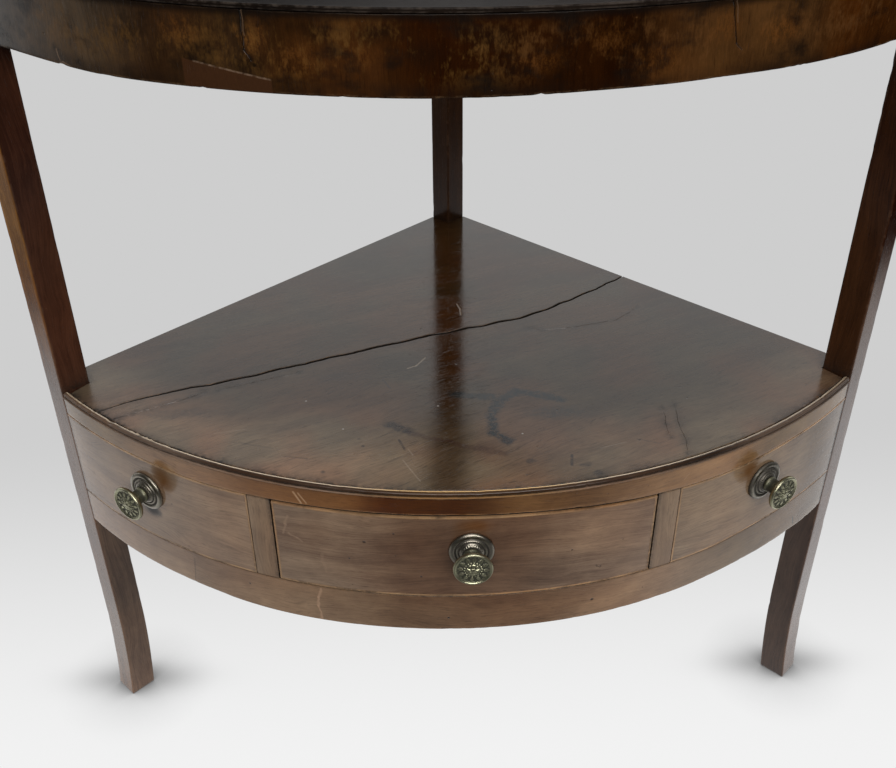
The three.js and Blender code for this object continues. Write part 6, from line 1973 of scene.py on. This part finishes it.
ROSE_P = [(2.9, 0.4), (14.5, 0.4), (14.9, 0.7), (15.0, 1.2), (14.9, 1.7), (14.6, 2.2), (14.1, 2.6), (13.4, 2.88), (12.7, 3.0), (12.1, 2.9), (11.6, 2.6),
          (11.25, 2.15), (10.95, 1.95), (10.6, 2.15), (10.35, 2.65), (10.05, 3.05), (9.6, 3.25), (9.15, 3.2), (8.8, 2.9), (8.55, 2.7), (8.3, 2.95), (8.05, 3.45),
          (7.75, 3.8), (7.4, 3.95), (7.1, 4.05), (6.85, 4.35), (6.5, 4.65), (6.1, 4.8), (5.0, 4.8), (4.0, 4.8), (2.9, 4.8)]


def knob_profile(back):
    core = [(0.0, -(back + 6.4)), (1.9, -(back + 6.4)), (2.35, -(back + 6.0)), (2.5, -(back + 5.6)), (2.5, -10.0), (2.5, 0.0), (2.5, 5.1)]
    neck = [(2.9, 5.12), (4.8, 5.15), (5.5, 5.35), (5.85, 5.8), (5.95, 6.4), (5.8, 7.0), (5.5, 7.4), (5.3, 7.9), (5.2, 8.6), (5.15, 9.4), (5.15, 10.2), (5.2, 10.9),
            (5.35, 11.4), (5.5, 11.8), (5.5, 12.2), (5.8, 12.6), (6.6, 13.05), (7.7, 13.65), (9.1, 14.35), (10.6, 15.1), (11.8, 15.85), (12.5, 16.5), (12.85, 17.1),
            (13.0, 17.8), (12.95, 18.5), (12.75, 19.05), (12.4, 19.42), (12.0, 19.5), (11.65, 19.35), (11.4, 19.05)]
    face = [(r, 18.95 + 0.75 * (1 - (r / 11.2) ** 2)) for r in np.linspace(11.2, 0.0, 46)]
    return core + neck + face


def nut_mesh(phi, z, back):
    # hexagonal-ish brass nut with eased corners, threaded on the shank
    prof = [(2.9, -back - 4.4), (5.2, -back - 4.4), (5.9, -back - 4.1), (6.2, -back - 3.6), (6.2, -back - 1.4), (5.95, -back - 0.9), (5.3, -back - 0.5), (4.6, -back - 0.35), (2.9, -back - 0.35)]

    def rel(V, rr, tt):
        V = V.copy()
        hexr = math.cos(math.pi / 6) / np.cos(np.mod(tt, math.pi / 3) - math.pi / 6)
        k = np.where(rr > 4.4, np.minimum(hexr * 1.06, 1.0), 1.0)
        V[:, 0] *= k
        V[:, 2] *= k
        return V
    m, L = turned(prof, phi, z, seg=72, relief=rel, closed=True)
    return m, L


def local_gc(L):
    return lambda V: np.stack([L[:, 0], L[:, 2], L[:, 1]], -1)


for key, back, body in (("left", DUMMY_T, "stand"), ("right", DUMMY_T, "stand"), ("centre", DFT, "drawer")):
    phi, z = KNOBS[key]
    prof = dense(knob_profile(back), 3.0)
    spin = {"left": 0.35, "right": 1.1, "centre": 0.1}[key]

    def rel(V, rr, tt, spin=spin):
        return knob_relief(V, rr, tt + spin)
    m, L = turned(prof, phi, z, seg=SEG, relief=rel)
    rr = np.hypot(L[:, 0], L[:, 2])

    def kg(V, L=L, rr=rr):
        d = L[:, 1]
        ideal = 18.95 + 0.75 * (1 - (rr / 11.2) ** 2)
        cav = np.clip((ideal - 0.05 - d) / 0.55, 0, 1) * (rr < 11.4) * (d > 17.5)
        neck = np.exp(-((d - 9.3) / 2.2) ** 2) * 0.4 * (rr < 6)
        back = (d < 17.0) * 0.35
        return np.clip(cav + neck + back, 0, 1)

    def kw(V, W, L=L, rr=rr):
        d = L[:, 1]
        ideal = 18.95 + 0.75 * (1 - (rr / 11.2) ** 2)
        high = np.clip((d - ideal + 0.1) / 0.35, 0, 1) * (rr < 11.0) * (d > 17.5)
        rim = np.exp(-((rr - 12.2) / 0.6) ** 2) * (d > 19.0)
        return np.clip(high + rim, 0, 1)
    put(f"knob_{key}", m, MATS["brass"], body=body, slot="brass", gc=local_gc(L), dirt_and_shade=kg, wear_and_highlight=kw, crease=70, wn=False)
    rp = np.array(ROSE_P)
    m, L = turned(rp, phi, z, seg=SEG, relief=rose_relief, closed=True)
    rr = np.hypot(L[:, 0], L[:, 2])

    def rg(V, L=L, rr=rr, extra={"left": 0.15, "centre": 0.0, "right": 0.55}[key]):
        d = L[:, 1]
        g = np.exp(-((rr - 11.0) / 0.55) ** 2) * 1.2 + np.exp(-((rr - 8.6) / 0.4) ** 2) * 1.0 + (rr < 6.4) * 0.5 + extra
        return np.clip(g, 0, 1)

    def rw(V, W, L=L, rr=rr):
        return np.clip(np.exp(-((rr - 13.2) / 1.1) ** 2) + np.exp(-((rr - 9.7) / 0.5) ** 2) * 0.8 + np.exp(-((rr - 7.6) / 0.4) ** 2) * 0.8, 0, 1) * (L[:, 1] > 1.0)
    put(f"rose_{key}", m, MATS["bronze"], body=body, slot="bronze", gc=local_gc(L), dirt_and_shade=rg, wear_and_highlight=rw, crease=60, wn=False)
    m, L = nut_mesh(phi, z, back)
    put(f"knob_nut_{key}", m, MATS["nut"], body=body, slot="bronze", gc=local_gc(L), crease=30, wn=False,
        dirt_and_shade=lambda V: np.clip(0.3 + 0.5 * fbm(V / 2.5, 181, 2), 0, 1))

# ------------------------------------------------------------------ normals made final, pieces tied to the frame
dg = bpy.context.evaluated_depsgraph_get()
for p in PIECES:
    ob = p["ob"]
    if ob.modifiers:
        me = bpy.data.meshes.new_from_object(ob.evaluated_get(dg), preserve_all_data_layers=True, depsgraph=dg)
        old = ob.data
        ob.modifiers.clear()
        ob.data = me
        me.name = ob.name
        bpy.data.meshes.remove(old)
for p in PIECES:
    ob = p["ob"]
    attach(ob, p["body"])
    if p["nodes"]:
        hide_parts(*p["nodes"])

FLOOR_L, ROOM_L, BACK_L, KEY_L, TOP_L = 1.7, 0.06, 0.94, 6.5, 2.2

# ------------------------------------------------------------------ camera
F_PX, W_PX, H_PX = 1021.081, 896.0, 768.0
pitch, yaw, roll = 0.57752062, 0.02286638, -0.00785053
cam_pos = Vector((-22.5624, -944.4059 + YS, 409.4987 + 320.0)) / 1000.0
fwd = Vector((math.sin(yaw) * math.cos(pitch), math.cos(yaw) * math.cos(pitch), -math.sin(pitch)))
right = Vector((math.cos(yaw), -math.sin(yaw), 0.0))
up = right.cross(fwd)
r2 = right * math.cos(roll) + up * math.sin(roll)
u2 = up * math.cos(roll) - right * math.sin(roll)
cd = bpy.data.cameras.new("camera")
cd.sensor_fit = "HORIZONTAL"
cd.sensor_width = 36.0
cd.lens = F_PX * 36.0 / W_PX
cd.clip_start, cd.clip_end = 0.02, 60.0
cd.dof.use_dof = False
cam = bpy.data.objects.new("camera", cd)
cam.matrix_world = Matrix(((r2.x, u2.x, -fwd.x, cam_pos.x), (r2.y, u2.y, -fwd.y, cam_pos.y), (r2.z, u2.z, -fwd.z, cam_pos.z), (0, 0, 0, 1)))
bpy.context.scene.collection.objects.link(cam)
bpy.context.scene.camera = cam

# ------------------------------------------------------------------ floor, surround, lights
# the floor is evenly lit where it is looked at, and soft contact shadows lie round the feet;
# what the polish mirrors is a bright patch of floor round the stand, brightest beside and behind it
n = Nodes("pale_floor")
n.t.nodes.remove(n.b)
tc = n.t.nodes.new("ShaderNodeTexCoord")
x, y, z = n.xyz(tc.outputs["Object"])
k = n.rng(y, -0.20, 0.33, 0.0, 1.0)
em = n.mix(k, (0.888, 0.888, 0.888), (0.617, 0.617, 0.617))
ao = n.t.nodes.new("ShaderNodeAmbientOcclusion")
ao.samples = 16
ao.inputs["Distance"].default_value = 0.060
sh = n.rng(ao.outputs["AO"], 0.35, 1.0, 0.22, 1.0, smooth=False)
for side in (-1, 1):      # the wide soft shadow round each foot
    qx = n.m("MULTIPLY", n.m("SUBTRACT", x, side * 0.292), 1 / 0.034)
    qy = n.m("MULTIPLY", n.m("SUBTRACT", y, -0.072), 1 / 0.0115)
    q = n.m("ADD", n.m("MULTIPLY", qx, qx), n.m("MULTIPLY", qy, qy))
    sh = n.m("MULTIPLY", sh, n.m("SUBTRACT", 1.0, n.m("MULTIPLY", n.m("EXPONENT", n.m("MULTIPLY", q, -0.5)), 0.48)))
em = n.mix(1.0, em, n.vec(sh, sh, sh), "MULTIPLY")
e = n.t.nodes.new("ShaderNodeEmission")
n._in(e.inputs["Color"], em)
isle = n.steps(x, [(-4.0, 0.75), (-2.5, 0.70), (-1.9, 0.16), (-1.29, 0.07), (-1.07, 0.07), (-0.89, 0.37), (-0.76, 0.66), (-0.66, 0.74), (-0.56, 0.83), (-0.42, 0.78),
                   (-0.30, 0.47), (0.0, 0.45), (0.20, 0.52), (0.36, 1.04), (0.50, 0.78), (0.70, 0.60), (0.82, 0.47), (0.99, 0.34), (1.16, 0.0), (3.0, 0.0)])
isle = n.m("MULTIPLY", isle, n.steps(y, [(-2.6, 0.02), (-1.0, 0.04), (-0.6, 0.14), (-0.45, 0.28), (-0.30, 0.52), (-0.14, 0.62), (-0.06, 0.70), (0.04, 0.72), (0.15, 1.0),
                                         (1.2, 1.0), (2.6, 0.6)]))
qx = n.m("MULTIPLY", n.m("ADD", x, 0.335), 1 / 0.040)
qy = n.m("MULTIPLY", n.m("ADD", y, 0.050), 1 / 0.050)
isle = n.m("ADD", isle, n.m("MULTIPLY", n.m("EXPONENT", n.m("MULTIPLY", n.m("ADD", n.m("MULTIPLY", qx, qx), n.m("MULTIPLY", qy, qy)), -0.5)), 0.30))
e2 = n.t.nodes.new("ShaderNodeEmission")
e2.inputs["Color"].default_value = (0.98, 0.99, 1.0, 1.0)
n._in(e2.inputs["Strength"], n.m("MULTIPLY", isle, FLOOR_L))
lp = n.t.nodes.new("ShaderNodeLightPath")
mx = n.t.nodes.new("ShaderNodeMixShader")
n.t.links.new(lp.outputs["Is Camera Ray"], mx.inputs[0])
n.t.links.new(e2.outputs[0], mx.inputs[1])
n.t.links.new(e.outputs[0], mx.inputs[2])
n.t.links.new(mx.outputs[0], n.out.inputs[0])
fm = bpy.data.meshes.new("floor")
fm.from_pydata([(-9, -9, 0), (9, -9, 0), (9, 9, 0), (-9, 9, 0)], [], [(0, 1, 2, 3)])
floor = bpy.data.objects.new("floor", fm)
fm.materials.append(n.mat)
bpy.context.scene.collection.objects.link(floor)

world = bpy.data.worlds.new("studio")
bpy.context.scene.world = world
world.use_nodes = True
wt = world.node_tree
wt.nodes.clear()


class WNodes(Nodes):
    def __init__(self, tree):
        self.t = tree


w = WNodes(wt)
wo = wt.nodes.new("ShaderNodeOutputWorld")
wtc = wt.nodes.new("ShaderNodeTexCoord")
dx, dy, dz = w.xyz(wtc.outputs["Generated"])
back = w.m("MULTIPLY", w.rng(dy, 0.05, 0.42, 0.0, 1.0), w.rng(dz, 0.55, 0.80, 1.0, 0.25))
rad = w.mixf(back, ROOM_L, BACK_L)
bg1 = wt.nodes.new("ShaderNodeBackground")
bg1.inputs["Color"].default_value = (0.98, 0.99, 1.0, 1)
w._in(bg1.inputs["Strength"], rad)
bg2 = wt.nodes.new("ShaderNodeBackground")
bg2.inputs["Color"].default_value = (0.70, 0.70, 0.70, 1)
wlp = wt.nodes.new("ShaderNodeLightPath")
wm = wt.nodes.new("ShaderNodeMixShader")
wt.links.new(wlp.outputs["Is Camera Ray"], wm.inputs[0])
wt.links.new(bg1.outputs[0], wm.inputs[1])
wt.links.new(bg2.outputs[0], wm.inputs[2])
wt.links.new(wm.outputs[0], wo.inputs[0])


def softbox(name, loc, target, sx, sy, radiance, color=(1, 1, 1)):
    L = bpy.data.lights.new(name, "AREA")
    L.shape = "RECTANGLE"
    L.size, L.size_y = sx, sy
    L.energy = radiance * math.pi * sx * sy
    L.color = color
    ob = bpy.data.objects.new(name, L)
    ob.location = loc
    ob.rotation_euler = (Vector(target) - Vector(loc)).to_track_quat("-Z", "Y").to_euler()
    ob.visible_camera = False
    bpy.context.scene.collection.objects.link(ob)
    return ob


softbox("key_front", (0.30, -2.30, 1.75), (0.0, 0.0, 0.33), 2.2, 1.2, KEY_L)
softbox("overhead", (0.0, -0.75, 2.3), (0.0, -0.1, 0.3), 1.6, 1.0, TOP_L)

sc = bpy.context.scene
sc.view_settings.view_transform = "Standard"
sc.view_settings.look = "None"
sc.view_settings.exposure = 0.0
sc.view_settings.gamma = 1.0
